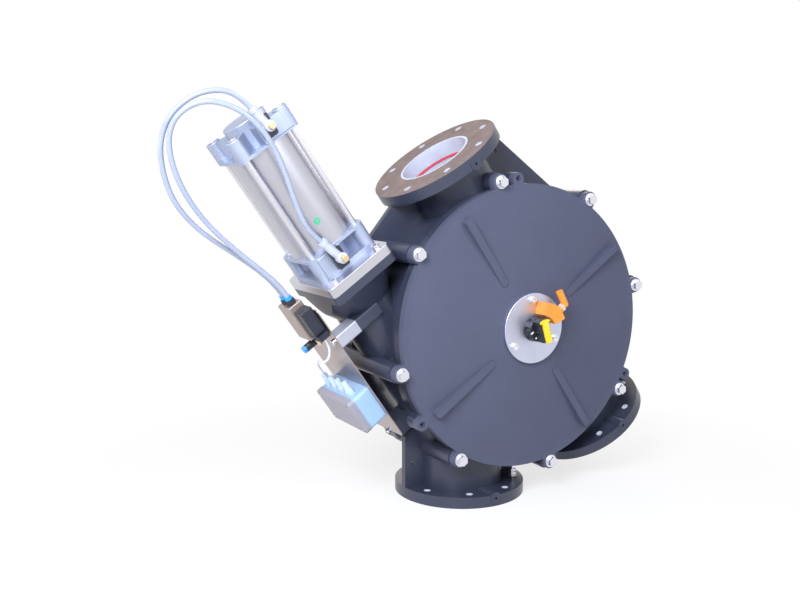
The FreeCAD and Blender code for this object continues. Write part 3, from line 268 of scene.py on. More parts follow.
class Finish:
    """A material built from nodes round one Principled shader."""

    def __init__(self, name, **constants):
        self.material = bpy.data.materials.new(name)
        self.material.use_nodes = True
        self.tree = self.material.node_tree
        self.shader = self.tree.nodes["Principled BSDF"]
        for socket, value in constants.items():
            self.shader.inputs[socket.replace("_", " ")].default_value = value

    def node(self, kind, settings=None, *values, **named):
        """Adds any node: its settings first, then its inputs in order or by name."""
        made = self.tree.nodes.new(kind)
        for setting, value in (settings or {}).items():
            setattr(made, setting, value)
        inputs = list(zip(made.inputs, values))
        inputs += [(made.inputs[name.replace("_", " ")], value) for name, value in named.items()]
        for socket, value in inputs:
            if isinstance(value, Value):
                self.tree.links.new(value.output, socket)
            else:
                socket.default_value = value
        return [Value(self, output) for output in made.outputs]

    def feed(self, socket, value):
        """Links a value to one of the shader's sockets."""
        self.tree.links.new(value.output, self.shader.inputs[socket])

    def place(self, matrix=None):
        """Object coordinates in millimetres of a frame, or of the part's own."""
        matrix = matrix or Matrix.Identity(4)
        turn = matrix.to_euler()
        coordinates = self.node("ShaderNodeTexCoord")[OBJECT_COORDINATES]
        return self.node("ShaderNodeMapping", {"vector_type": "TEXTURE"}, coordinates,
                         tuple(matrix.translation), tuple(turn), (MM, MM, MM))[0]

    def axes(self, vector):
        """The three coordinates of a vector."""
        return self.node("ShaderNodeSeparateXYZ", None, vector)

    def stretched(self, vector, scale):
        """A vector with each coordinate scaled, so that a pattern grows long where it is small."""
        return self.node("ShaderNodeVectorMath", {"operation": "MULTIPLY"}, vector, scale)[0]

    def noise(self, vector, size, detail=3.0, roughness=0.55):
        """Noise about one half, in patches of about that size in millimetres."""
        return self.node("ShaderNodeTexNoise", None, Vector=vector, Scale=1 / size, Detail=detail,
                         Roughness=roughness)[0]

    def mix(self, factor, first, second):
        """A colour between two, by a value."""
        made = self.tree.nodes.new("ShaderNodeMix")
        made.data_type = "RGBA"
        self.tree.links.new(factor.output, made.inputs[MIX_FACTOR])
        for index, value in ((MIX_FIRST, first), (MIX_SECOND, second)):
            if isinstance(value, Value):
                self.tree.links.new(value.output, made.inputs[index])
            else:
                made.inputs[index].default_value = rgba(value)
        return Value(self, made.outputs[MIX_RESULT])

    def bump(self, height, distance, strength):
        """Raises the surface by height times distance, in millimetres."""
        normal = self.node("ShaderNodeBump", None, Height=height, Distance=distance * MM,
                           Strength=strength)[0]
        self.feed("Normal", normal)

    def done(self, colour, roughness, metallic=None):
        """Feeds what changes over the surface and hands the material over."""
        self.feed("Base Color", colour)
        self.feed("Roughness", roughness)
        if metallic is not None:
            self.feed("Metallic", metallic)
        return self.material


def rgba(colour):
    """A colour with the fourth number that sockets want."""
    return (*colour, 1.0)


def shade(colour, factor):
    """The same colour lighter or darker."""
    return tuple(min(1.0, part * factor) for part in colour)


def machined_masks(finish):
    """One on the machined faces of the port flanges, and one in their bolt holes."""
    faces, holes = None, None
    for port in PORT_TURNS:
        x, y, z = finish.axes(finish.place(port_frame(port)))
        radius = (x * x + y * y) ** 0.5
        face = (z.above(PORT_REACH - MASK_MARGIN, MASK_STEP)
                * radius.below(FLANGE_R - 2 * MASK_MARGIN, MASK_MARGIN))
        share = y.maths("ARCTAN2", y, x) * (FLANGE_HOLES / (2 * math.pi)) + FLANGE_HOLES
        angle = (share.maths("FRACT", share) - 0.5) * (2 * math.pi / FLANGE_HOLES)
        along = radius * angle.maths("COSINE", angle) - FLANGE_HOLE_PCD_R
        across = radius * angle.maths("SINE", angle)
        from_hole = (along * along + across * across) ** 0.5
        hole = (from_hole.below(FLANGE_HOLE_R + MASK_MARGIN, MASK_STEP)
                * z.above(PORT_REACH - FLANGE_THICKNESS, MASK_STEP))
        faces = face if faces is None else faces.most(face)
        holes = hole if holes is None else holes.most(hole)
    return faces, holes


def enamel_body(colour, face_and_reflection_colour):
    """Satin enamel over a sand casting, with bare machined flange faces whose brown is partly a
    painted reflection, and bolt holes painted near-white as bare metal with a painted highlight.
    """
    finish = Finish("cast_enamel", Specular_IOR_Level=0.5)
    place = finish.place()
    cloud = finish.noise(place, 70.0, 4.0)
    grain = finish.noise(place, 1.6, 3.0)
    skin = finish.noise(place, 9.0, 3.0)
    speck = finish.noise(place, 4.2, 2.0).above(0.70, 0.06)
    face, hole = machined_masks(finish)
    paint = finish.mix(cloud, shade(colour, 0.80), shade(colour, 1.22))
    paint = finish.mix(speck * 0.35, paint, shade(colour, 2.2))
    smear = finish.noise(place, 26.0, 5.0, 0.7)
    # The machined faces' brown is partly their own tone and partly a painted reflection of warm
    # surroundings
    bare = finish.mix(smear.above(0.5, 0.5), shade(face_and_reflection_colour, 0.66), shade(face_and_reflection_colour, 1.25))
    rust = finish.noise(place, 13.0, 4.0, 0.6).above(0.60, 0.12)
    red, green, blue = face_and_reflection_colour
    bare = finish.mix(rust * 0.4, bare, (red * 1.5, green * 1.05, blue * 0.8))
    pits = finish.noise(place, 2.4, 2.0).above(0.66, 0.08)
    bare = finish.mix(pits * 0.4, bare, shade(face_and_reflection_colour, 0.5))
    finish.bump(skin * 0.7 + grain * 0.3, 0.22, 0.5)
    # The bolt holes take a near-white colour: bare metal brightened into a painted highlight
    tone = finish.mix(hole, finish.mix(face, paint, bare), HOLE_BARE_AND_HIGHLIGHT)
    dull = 0.24 + cloud * 0.08 + grain * 0.06 + face * 0.38 - hole * 0.06
    return finish.done(tone, dull, hole * 0.6)


def enamel_cover(colour):
    """The covers' smoother enamel: fine orange peel and faint wiping marks."""
    finish = Finish("cover_enamel", Specular_IOR_Level=0.15)
    place = finish.place()
    cloud = finish.noise(place, 120.0, 5.0, 0.6)
    peel = finish.noise(place, 1.9, 2.0)
    wipe = finish.noise(finish.stretched(place, (0.12, 1.0, 1.0)), 14.0, 4.0)
    speck = finish.noise(place, 5.0, 1.0).above(0.73, 0.04)
    paint = finish.mix(cloud, shade(colour, 0.90), shade(colour, 1.12))
    paint = finish.mix(speck * 0.3, paint, shade(colour, 1.8))
    finish.bump(peel, 0.10, 0.55)
    return finish.done(paint, 0.33 + cloud * 0.06 + wipe * 0.06)


def liner_plastic(colour):
    """Pale wear plastic, scuffed along the flow and a little dusty."""
    finish = Finish("port_liner_plastic", Subsurface_Weight=0.1)
    place = finish.place()
    scuff = finish.noise(finish.stretched(place, (1.0, 1.0, 0.2)), 6.0, 4.0)
    dust = finish.noise(place, 40.0, 4.0)
    tint = finish.mix(dust.above(0.55, 0.3), colour, shade(colour, 0.90))
    finish.bump(scuff, 0.04, 0.4)
    return finish.done(tint, 0.30 + scuff * 0.15)


def seal_rubber(name, colour, roughness=0.5):
    """Moulded rubber with fine grain and dust."""
    finish = Finish(name)
    place = finish.place()
    dust = finish.noise(place, 12.0, 4.0)
    finish.bump(finish.noise(place, 0.8, 2.0), 0.05, 0.5)
    tone = finish.mix(dust, shade(colour, 0.85), shade(colour, 1.2))
    return finish.done(tone, roughness + dust * 0.15)


def plated_steel(colour):
    """Bright zinc plating with faint bluish clouds and fine scratches."""
    finish = Finish("zinc_plate", Metallic=1.0)
    place = finish.place()
    cloud = finish.noise(place, 5.0, 3.0)
    scratch = finish.noise(finish.stretched(place, (1.0, 0.15, 1.0)), 0.9, 2.0)
    red, green, blue = colour
    tone = finish.mix(cloud, shade(colour, 0.88), (red * 1.05, green * 1.06, blue * 1.12))
    finish.bump(scratch, 0.03, 0.5)
    return finish.done(tone, 0.20 + cloud * 0.14 + scratch * 0.08)


def turned_steel(name, colour, matrix, roughness=0.26):
    """Steel turned on a lathe: fine rings about the Y axis of a frame."""
    finish = Finish(name, Metallic=1.0)
    place = finish.place(matrix)
    x, y, z = finish.axes(place)
    radius = (x * x + z * z) ** 0.5
    ring_place = finish.node("ShaderNodeCombineXYZ", None, radius, y, 0.0)[0]
    rings = finish.noise(ring_place, 0.7, 3.0, 0.7)
    haze = finish.noise(place, 22.0, 4.0)
    tone = finish.mix(haze, shade(colour, 0.90), shade(colour, 1.08))
    finish.bump(rings, 0.03, 0.5)
    return finish.done(tone, roughness + rings * 0.10 + haze * 0.08)


def drawn_aluminium(colour, matrix):
    """Anodised barrel: lines along the Z axis of a frame."""
    finish = Finish("anodised_barrel", Metallic=1.0)
    place = finish.place(matrix)
    lines = finish.noise(finish.stretched(place, (1.0, 1.0, 0.012)), 1.1, 3.0, 0.6)
    haze = finish.noise(place, 45.0, 4.0)
    tone = finish.mix(lines, shade(colour, 0.90), shade(colour, 1.08))
    finish.bump(lines, 0.03, 0.4)
    return finish.done(tone, 0.26 + lines * 0.12 + haze * 0.06)


def cast_aluminium(name, colour, grain=1.1, roughness=0.42):
    """Blasted pale casting: fine sparkle over soft clouds."""
    finish = Finish(name, Metallic=0.75)
    place = finish.place(FLOW)
    cloud = finish.noise(place, 30.0, 4.0)
    sand = finish.noise(place, grain, 3.0, 0.7)
    tone = finish.mix(cloud * 0.6 + sand * 0.4, shade(colour, 0.82), shade(colour, 1.16))
    finish.bump(sand, 0.12, 0.5)
    return finish.done(tone, roughness + sand * 0.14)


def milled_plate(colour):
    """Milled aluminium: cutter arcs and fine lines."""
    finish = Finish("milled_plate", Metallic=1.0)
    place = finish.place(FLOW)
    arcs = finish.node("ShaderNodeTexWave", {"wave_type": "RINGS", "rings_direction": "SPHERICAL"},
                       Vector=place, Scale=0.16, Distortion=0.6, Detail=2.0)[1]
    fine = finish.noise(finish.stretched(place, (1.0, 0.1, 1.0)), 1.0, 3.0)
    tone = finish.mix(fine, shade(colour, 0.88), shade(colour, 1.08))
    finish.bump(arcs * 0.5 + fine * 0.5, 0.02, 0.5)
    return finish.done(tone, 0.24 + fine * 0.14 + arcs * 0.04)


def brushed_sheet(colour, warm):
    """Stainless sheet with a lengthwise brush and warm clouds, which are a painted reflection of
    warm surroundings.
    """
    finish = Finish("stainless_sheet", Metallic=1.0)
    place = finish.place(FLOW)
    brush = finish.noise(finish.stretched(place, (1.0, 1.0, 0.02)), 0.8, 3.0)
    cloud = finish.noise(place, 60.0, 5.0, 0.6)
    # Warm patches: a painted reflection of warm surroundings
    tone = finish.mix(cloud.above(0.5, 0.4), colour, warm)
    finish.bump(brush, 0.02, 0.4)
    return finish.done(tone, 0.22 + brush * 0.14)


def standoff_finish(pale, enamel):
    """A bare spacer at the sheet, painted like the casting where it meets the neck."""
    finish = Finish("standoff_finish")
    place = finish.place(FLOW)
    across = finish.axes(place)[0]
    sand = finish.noise(place, 1.2, 3.0, 0.7)
    cloud = finish.noise(place, 18.0, 3.0)
    bare = across.below(STANDOFF_PAINT, STANDOFF_STEP)
    metal = finish.mix(cloud * 0.5 + sand * 0.5, shade(pale, 0.82), shade(pale, 1.16))
    paint = finish.mix(cloud, shade(enamel, 0.8), shade(enamel, 1.25))
    finish.bump(sand, 0.10, 0.5)
    return finish.done(finish.mix(bare, paint, metal), 0.40 + sand * 0.12, bare * 0.5)


def powder_coat(name, colour):
    """Light powder coat with a coarse orange peel."""
    finish = Finish(name)
    place = finish.place(FLOW)
    peel = finish.noise(place, 1.5, 2.0)
    cloud = finish.noise(place, 35.0, 3.0)
    finish.bump(peel, 0.12, 0.6)
    tone = finish.mix(cloud, shade(colour, 0.93), shade(colour, 1.06))
    return finish.done(tone, 0.34 + peel * 0.14)


def moulded_plastic(name, colour, roughness):
    """Moulded plastic with a fine eroded grain."""
    finish = Finish(name)
    place = finish.place()
    spark = finish.noise(place, 0.9, 3.0)
    cloud = finish.noise(place, 14.0, 3.0)
    finish.bump(spark, 0.05, 0.5)
    tone = finish.mix(cloud, shade(colour, 0.86), shade(colour, 1.15))
    return finish.done(tone, roughness + spark * 0.16)


def fitting_plastic(black, pale):
    """A black seat block with a pale ring and hose arm in front of it."""
    finish = Finish("flow_control_plastic", Coat_Weight=0.3, Coat_Roughness=0.15)
    place = finish.place(FLOW)
    depth = finish.axes(place)[1]
    spark = finish.noise(place, 0.9, 3.0)
    cloud = finish.noise(place, 11.0, 3.0)
    arm = depth.below(CONTROL_RING, CONTROL_STEP)
    dark = finish.mix(cloud, shade(black, 0.8), shade(black, 1.3))
    light = finish.mix(cloud, shade(pale, 0.86), shade(pale, 1.06))
    finish.bump(spark, 0.04, 0.4)
    return finish.done(finish.mix(arm, dark, light), 0.24 + spark * 0.14)


def turned_brass(colour):
    """Nickelled brass with fine turning marks."""
    finish = Finish("nickelled_brass", Metallic=1.0)
    place = finish.place(FLOW)
    knurl = finish.noise(finish.stretched(place, (1.0, 0.1, 1.0)), 0.7, 2.0)
    finish.bump(knurl, 0.05, 0.5)
    tone = finish.mix(knurl, shade(colour, 0.82), shade(colour, 1.12))
    return finish.done(tone, 0.22 + knurl * 0.16)


def bush_bronze(colour):
    """Sintered bronze with dark pores."""
    finish = Finish("sintered_bronze", Metallic=0.9)
    place = finish.place()
    pores = finish.noise(place, 0.6, 2.0)
    finish.bump(pores, 0.05, 0.5)
    tone = finish.mix(pores, shade(colour, 0.7), shade(colour, 1.2))
    return finish.done(tone, 0.36 + pores * 0.15)


def hose_plastic(colour):
    """Milky tube with faint clouds and a glossy skin."""
    finish = Finish("clear_hose", Coat_Weight=0.6, Coat_Roughness=0.10)
    cloud = finish.noise(finish.place(), 24.0, 2.0)
    finish.bump(cloud, 0.05, 0.2)
    tone = finish.mix(cloud, shade(colour, 0.88), shade(colour, 1.12))
    return finish.done(tone, 0.20 + cloud * 0.08)


def cable_sheath(colour):
    """Soft pale sheath, faintly soiled."""
    finish = Finish("cable_sheath")
    soil = finish.noise(finish.place(), 3.0, 3.0)
    finish.bump(soil, 0.04, 0.4)
    tone = finish.mix(soil, shade(colour, 0.90), shade(colour, 1.05))
    return finish.done(tone, 0.36 + soil * 0.14)


def sticker_film(colour):
    """Printed film, even but for a fine grain."""
    finish = Finish("green_dot_film")
    grain = finish.noise(finish.place(), 1.4, 2.0)
    tone = finish.mix(grain, shade(colour, 0.9), shade(colour, 1.1))
    return finish.done(tone, 0.32 + grain * 0.1)


def dress(material, *nodes):
    """Gives CAD nodes a finish."""
    for name in nodes:
        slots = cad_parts[name].data.materials
        slots.clear()
        slots.append(material)


def mesh_piece(name, bm, material, body="housing"):
    """Makes a finished piece at the origin from a bmesh in millimetres of the valve's frame."""
    bmesh.ops.transform(bm, matrix=FLOW @ Matrix.Scale(MM, 4), verts=bm.verts)
    bmesh.ops.recalc_face_normals(bm, faces=bm.faces)
    for face in bm.faces:
        face.smooth = True
    for edge in bm.edges:
        edge.smooth = len(edge.link_faces) == 2 and edge.calc_face_angle(0.0) < SMOOTH_ANGLE
    mesh = bpy.data.meshes.new(name)
    bm.to_mesh(mesh)
    bm.free()
    piece = bpy.data.objects.new(name, mesh)
    bpy.context.scene.collection.objects.link(piece)
    mesh.materials.append(material)
    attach(piece, body)


def lathe(profile, matrix):
    """Spins (radius, height) points about Z into a closed solid, then places it."""
    bm = bmesh.new()
    verts = [bm.verts.new((radius, 0, height)) for radius, height in profile]
    edges = [bm.edges.new(pair) for pair in zip(verts, verts[1:])]
    bmesh.ops.spin(bm, geom=verts + edges, cent=(0, 0, 0), axis=(0, 0, 1), dvec=(0, 0, 0),
                   angle=2 * math.pi, steps=RING_STEPS, use_merge=True, use_duplicate=False)
    bmesh.ops.remove_doubles(bm, verts=bm.verts, dist=0.001)
    bmesh.ops.transform(bm, matrix=matrix, verts=bm.verts)
    return bm


def bevelled(bm, made, offset):
    """Rounds every edge of a shape that was just made, in the mesh's own order."""
    corners = set(made["verts"])
    edges = [edge for edge in bm.edges if edge.verts[0] in corners]
    bmesh.ops.bevel(bm, geom=edges, offset=offset, affect="EDGES", segments=2, profile=0.5,
                    material=-1)


def cord_piece(name, route, diameter, material, replaced):
    """A smooth tube on a NURBS line through the route's control points."""
    curve = bpy.data.curves.new(name, "CURVE")
    curve.dimensions = "3D"
    spline = curve.splines.new("NURBS")
    spline.points.add(len(route) - 1)
    for point, place in zip(spline.points, route):
        point.co = (*flow_point(place), 1.0)
    spline.order_u = 3
    spline.use_endpoint_u = True
    spline.resolution_u = CORD_STEPS
    curve.bevel_depth = diameter / 2
    curve.bevel_resolution = CORD_ROUNDING
    curve.use_fill_caps = True
    piece = bpy.data.objects.new(name, curve)
    bpy.context.scene.collection.objects.link(piece)
    curve.materials.append(material)
    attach(piece, "housing")
    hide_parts(replaced)
    return piece


class DiverterSizes(bpy.types.PropertyGroup):
    """Sizes of the pieces that this file adds"""
    hose_diameter: bpy.props.FloatProperty(
        name="Hose diameter", description="Outside diameter of the air hoses", default=0.010,
        min=0.004, max=0.020, subtype="DISTANCE", unit="LENGTH")
    cable_diameter: bpy.props.FloatProperty(
        name="Cable diameter", description="Outside diameter of the coil's cable", default=0.005,
        min=0.003, max=0.010, subtype="DISTANCE", unit="LENGTH")
    dot_diameter: bpy.props.FloatProperty(
        name="Dot diameter", description="Diameter of the inspection dot on the barrel",
        default=0.014, min=0.005, max=0.030, subtype="DISTANCE", unit="LENGTH")
    stud_diameter: bpy.props.FloatProperty(
        name="Earth stud diameter", description="Thread diameter of the earth stud", default=0.008,
        min=0.004, max=0.012, subtype="DISTANCE", unit="LENGTH")


def colour_property(name, description, default):
    """A colour that a user may change."""
    return bpy.props.FloatVectorProperty(name=name, description=description, default=default,
                                         size=3, min=0.0, max=1.0, subtype="COLOR")


class DiverterColours(bpy.types.PropertyGroup):
    """Colours of the pieces that show"""
    enamel: colour_property("Enamel", "Blue-black enamel of the castings", (0.033, 0.038, 0.064))
    cover: colour_property("Cover", "Enamel of the covers", (0.080, 0.086, 0.130))
    # The flange faces' brown is partly their own tone and partly a painted reflection of warm
    # surroundings
    flange_face: colour_property("Flange face", "Machined faces of the port flanges",
                                 (0.185, 0.14, 0.128))
    liner: colour_property("Liner", "Plastic liner of the ports", (0.56, 0.57, 0.68))
    seal: colour_property("Seal", "Silicone rings in the ports", (0.60, 0.08, 0.12))
    zinc: colour_property("Zinc", "Plating of the fasteners", (0.78, 0.78, 0.82))
    hub: colour_property("Hub plate", "Turned stainless hub plate", (0.60, 0.62, 0.76))
    knob: colour_property("Knob", "Indicator knob", (0.012, 0.013, 0.018))
    pointer: colour_property("Pointer", "Raised bar on the knob", (0.80, 0.60, 0.03))
    sensor: colour_property("Sensor", "Position sensor and its plug", (0.80, 0.28, 0.035))
    barrel: colour_property("Barrel", "Anodised cylinder barrel", (0.56, 0.56, 0.62))
    caps: colour_property("Caps", "Cast cylinder caps", (0.40, 0.45, 0.58))
    plate: colour_property("Plate", "Milled adapter plate", (0.62, 0.62, 0.68))
    sheet: colour_property("Sheet", "Stainless bracket sheet", (0.44, 0.38, 0.40))
    box: colour_property("Junction box", "Powder coat of the junction box", (0.30, 0.45, 0.66))
    lid: colour_property("Box lid", "Powder coat of the junction box's lid", (0.28, 0.27, 0.32))
    hose: colour_property("Hose", "Milky air hose", (0.30, 0.34, 0.45))
    collet: colour_property("Release ring", "Blue rings of the hose fittings", (0.02, 0.28, 0.72))
    brass: colour_property("Brass", "Throttle screws and silencers", (0.86, 0.68, 0.40))
    dot: colour_property("Dot", "Inspection dot on the barrel", (0.09, 0.40, 0.23))


def sizes():
    """The sizes as they are set in the scene."""
    return bpy.context.scene.diverter_sizes


def colours():
    """The colours as they are set in the scene."""
    return bpy.context.scene.diverter_colours


class DIVERTER_OT_castings(bpy.types.Operator):
    """Enamel on the castings and the plugs and screws painted with them, and their cord seals"""
    bl_idname = "diverter.castings"
    bl_label = "Castings"

    def execute(self, context):
        dress(enamel_body(colours().enamel, colours().flange_face), "housing_body", "port_plugs",
              "jacking_screws")
        dress(enamel_cover(colours().cover), "front_cover", "rear_cover", "rear_bearing_cap")
        dress(seal_rubber("cord_seal_rubber", CORD_SEAL_BLACK), "cover_seals", "front_shaft_seal")
        return {"FINISHED"}


class DIVERTER_OT_flow_path(bpy.types.Operator):
    """Liners, silicone seals, drum, shafts and bushes"""
    bl_idname = "diverter.flow_path"
    bl_label = "Flow path"

    def execute(self, context):
        dress(liner_plastic(colours().liner), "inlet_liner", "straight_liner", "branch_liner")
        dress(seal_rubber("silicone_ring", colours().seal, 0.35), "inlet_seal", "straight_seal",
              "branch_seal")
        dress(turned_steel("drum_metal", DRUM_GREY, FLOW, 0.34), "drum")
        dress(turned_steel("shaft_steel", SHAFT_GREY, FLOW), "front_shaft", "rear_shaft",
              "shaft_screws", "drive_pin")
        dress(bush_bronze(BRONZE), "drum_bearings", "rod_gland")
        return {"FINISHED"}


class DIVERTER_OT_fasteners(bpy.types.Operator):
    """Plated bolts, screws, tie rods and nut"""
    bl_idname = "diverter.fasteners"
    bl_label = "Fasteners"

    def execute(self, context):
        dress(plated_steel(colours().zinc), "cover_bolts", "hub_screws", "adapter_screws",
              "bracket_screws", "junction_box_screws", "tie_rods", "sensor_nut")
        return {"FINISHED"}


class DIVERTER_OT_indicator(bpy.types.Operator):
    """Hub plate, knob, pointer and position sensor"""
    bl_idname = "diverter.indicator"
    bl_label = "Indicator"

    def execute(self, context):
        dress(turned_steel("hub_stainless", colours().hub, FLOW, 0.30), "hub_plate")
        dress(moulded_plastic("knob_plastic", colours().knob, 0.30), "indicator_knob")
        dress(moulded_plastic("pointer_plastic", colours().pointer, 0.30), "indicator_pointer")
        dress(moulded_plastic("sensor_plastic", colours().sensor, 0.30), "sensor_body",
              "sensor_plug")
        return {"FINISHED"}


class DIVERTER_OT_cylinder(bpy.types.Operator):
    """Air cylinder, its adapter plate and its moving parts"""
    bl_idname = "diverter.cylinder"
    bl_label = "Air cylinder"

    def execute(self, context):
        dress(drawn_aluminium(colours().barrel, FLOW), "cylinder_barrel", "piston")
        dress(cast_aluminium("cap_casting", colours().caps), "cylinder_lower_cap",
              "cylinder_upper_cap")
        dress(milled_plate(colours().plate), "adapter_plate")
        dress(turned_steel("rod_chrome", ROD_CHROME, FLOW, 0.16), "piston_rod", "drive_yoke")
        dress(seal_rubber("piston_rubber", PISTON_RING_BLACK), "piston_seal")
        return {"FINISHED"}


class DIVERTER_OT_flow_controls(bpy.types.Operator):
    """Flow controls, throttle screws, hose fittings and silencers"""
    bl_idname = "diverter.flow_controls"
    bl_label = "Flow controls"

    def execute(self, context):
        dress(fitting_plastic(CONTROL_BLACK, CONTROL_PALE), "upper_flow_control",
              "lower_flow_control")
        dress(moulded_plastic("fitting_black", FITTING_BLACK, 0.32), "hose_fittings",
              "supply_elbow")
        dress(turned_brass(colours().brass), "upper_throttle_screw", "lower_throttle_screw",
              "silencers")
        dress(moulded_plastic("release_ring_blue", colours().collet, 0.25), "hose_collets")
        return {"FINISHED"}


class DIVERTER_OT_liner_rings(bpy.types.Operator):
    """A red silicone ring let into each liner's bore"""
    bl_idname = "diverter.liner_rings"
    bl_label = "Liner rings"

    def execute(self, context):
        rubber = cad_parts["inlet_seal"].data.materials[0]
        high = PORT_REACH - RING_DEPTH
        low = high - RING_LENGTH
        inner, outer = BORE_R - RING_PROUD, BORE_R + RING_LET_IN
        profile = [(outer, low), (inner + RING_CHAMFER, low), (inner, low + RING_CHAMFER),
                   (inner, high - RING_CHAMFER), (inner + RING_CHAMFER, high), (outer, high),
                   (outer, low)]
        for port, (turn, side) in PORT_TURNS.items():
            offset = Matrix.Translation((side * CHANNEL_OFFSET, 0, 0))
            ring = lathe(profile, Matrix.Rotation(turn, 4, "Y") @ offset)
            mesh_piece(port + "_liner_ring", ring, rubber)
        return {"FINISHED"}


class DIVERTER_OT_knob_marks(bpy.types.Operator):
    """Two small raised white marks on the knob's skirt"""
    bl_idname = "diverter.knob_marks"
    bl_label = "Knob marks"

    def execute(self, context):
        bm = bmesh.new()
        for radius, angle, half_long, half_wide in KNOB_MARKS:
            made = bmesh.ops.create_cube(bm, size=2.0)
            bmesh.ops.scale(bm, vec=(half_long, MARK_HEIGHT, half_wide), verts=made["verts"])
            place = (radius * math.cos(angle), KNOB_SKIRT_FACE, radius * math.sin(angle))
            bmesh.ops.translate(bm, vec=place, verts=made["verts"])
            bevelled(bm, made, MARK_BEVEL)
        mesh_piece("knob_marks", bm, moulded_plastic("mark_white", MARK_WHITE, 0.35),
                   "drum")
        return {"FINISHED"}


class DIVERTER_OT_inspection_dot(bpy.types.Operator):
    """The round green film on the cylinder's barrel"""
    bl_idname = "diverter.inspection_dot"
    bl_label = "Inspection dot"

    def execute(self, context):
        radius = sizes().dot_diameter / MM / 2
        under = BARREL_R + DOT_GAP
        bm = bmesh.new()
        bmesh.ops.create_circle(bm, cap_ends=True, segments=DOT_SIDES, radius=radius)
        middle = list(bm.faces)
        for _ in range(DOT_RINGS):
            bmesh.ops.inset_region(bm, faces=middle, thickness=radius * DOT_RING_SHARE)
        for vert in bm.verts:
            across, along = vert.co.x, vert.co.y
            vert.co = (across, -math.sqrt(under ** 2 - across ** 2), along)
        grown = bmesh.ops.extrude_face_region(bm, geom=list(bm.faces))["geom"]
        verts = [part for part in grown if isinstance(part, bmesh.types.BMVert)]
        bmesh.ops.scale(bm, vec=(1, (under + DOT_FILM) / under, 1), verts=verts)
        place = Matrix.Translation((-ROD_OFFSET, 0, DOT_HEIGHT))
        bmesh.ops.transform(bm, matrix=place @ Matrix.Rotation(DOT_ANGLE, 4, "Z"), verts=bm.verts)
        mesh_piece("inspection_dot", bm, sticker_film(colours().dot))
        return {"FINISHED"}


class DIVERTER_OT_earth_stud(bpy.types.Operator):
    """Earth stud with its washers and nuts on the branch flange's back"""
    bl_idname = "diverter.earth_stud"
    bl_label = "Earth stud"

    def execute(self, context):
        radius = sizes().stud_diameter / MM / 2
        bm = bmesh.new()
        for sides, wide, low, high in STUD_PARTS:
            made = bmesh.ops.create_cone(bm, cap_ends=True, segments=sides, radius1=radius * wide,
                                         radius2=radius * wide, depth=high - low,
                                         matrix=Matrix.Translation((0, 0, (low + high) / 2)))
            bevelled(bm, made, STUD_BEVEL)
        upright = FLOW.inverted() @ Matrix.Translation(Vector(STUD_PLACE) * MM)
        bmesh.ops.transform(bm, matrix=Matrix.Scale(1 / MM, 4) @ upright @ Matrix.Scale(MM, 4),
                            verts=bm.verts)
        mesh_piece("earth_stud", bm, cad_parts["cover_bolts"].data.materials[0])
        return {"FINISHED"}


class DIVERTER_OT_bracket(bpy.types.Operator):
    """Side bracket with its standoff, junction box and cable glands"""
    bl_idname = "diverter.bracket"
    bl_label = "Side bracket"

    def execute(self, context):
        dress(brushed_sheet(colours().sheet, SHEET_WARM_REFLECTION), "bracket_sheet")
        dress(standoff_finish(STANDOFF_PALE, colours().enamel), "bracket_standoff")
        dress(powder_coat("box_powder_coat", colours().box), "junction_box_base")
        dress(powder_coat("lid_powder_coat", colours().lid), "junction_box_lid")
        dress(moulded_plastic("gland_plastic", GLAND_BLUE, 0.34), "cable_glands")
        return {"FINISHED"}


class DIVERTER_OT_solenoid(bpy.types.Operator):
    """Solenoid valve, coil and plug"""
    bl_idname = "diverter.solenoid"
    bl_label = "Solenoid valve"

    def execute(self, context):
        dress(cast_aluminium("valve_block", VALVE_GREY, 1.6, 0.30), "valve_body")
        dress(moulded_plastic("coil_plastic", COIL_BLACK, 0.28), "valve_coil", "coil_connector")
        return {"FINISHED"}


class DIVERTER_OT_hoses(bpy.types.Operator):
    """The two air hoses and the coil's cable"""
    bl_idname = "diverter.hoses"
    bl_label = "Hoses and cable"

    def execute(self, context):
        clear = hose_plastic(colours().hose)
        thick = sizes().hose_diameter
        upper = cord_piece("upper_hose", UPPER_HOSE_ROUTE, thick, clear, "upper_air_hose")
        lower = cord_piece("lower_hose", LOWER_HOSE_ROUTE, thick, clear, "lower_air_hose")
        thin = sizes().cable_diameter
        cable = cord_piece("coil_cable", CABLE_ROUTE, thin, cable_sheath(CABLE_WHITE),
                           "solenoid_cable")
        return {"FINISHED"}


class DIVERTER_OT_stage(bpy.types.Operator):
    """Floor, lamps, world and camera"""
    bl_idname = "diverter.stage"
    bl_label = "Stage"

    def execute(self, context):
        make_floor()
        make_world()
        make_lamps()
        make_camera()
        context.scene.view_settings.view_transform = "Standard"
        return {"FINISHED"}


def make_floor():
    """A white floor that keeps the valve's shadow and turns plain white away from it."""
    bm = bmesh.new()
    bmesh.ops.create_grid(bm, x_segments=1, y_segments=1, size=FLOOR_SIZE / 2)
    mesh = bpy.data.meshes.new("floor")
    bm.to_mesh(mesh)
    bm.free()
    floor = bpy.data.objects.new("floor", mesh)
    bpy.context.scene.collection.objects.link(floor)
    finish = Finish("floor_paint", Roughness=0.9, Base_Color=rgba(FLOOR_GREY))
    tree = finish.tree
    x, y = finish.axes(finish.place())[:2]
    radius = (x * x + y * y) ** 0.5
    away = ((radius - FLOOR_FADE_START) / FLOOR_FADE).clamped()
    seen = seen_directly(finish.node("ShaderNodeLightPath"))
    glow = tree.nodes.new("ShaderNodeEmission")
    glow.inputs["Color"].default_value = rgba(WHITE)
    mixed = tree.nodes.new("ShaderNodeMixShader")
    factor = seen * (FLOOR_GLOW + (1 - FLOOR_GLOW) * away)
    tree.links.new(factor.output, mixed.inputs[0])
    tree.links.new(finish.shader.outputs[0], mixed.inputs[1])
    tree.links.new(glow.outputs[0], mixed.inputs[2])
    tree.links.new(mixed.outputs[0], tree.nodes["Material Output"].inputs["Surface"])
    mesh.materials.append(finish.material)


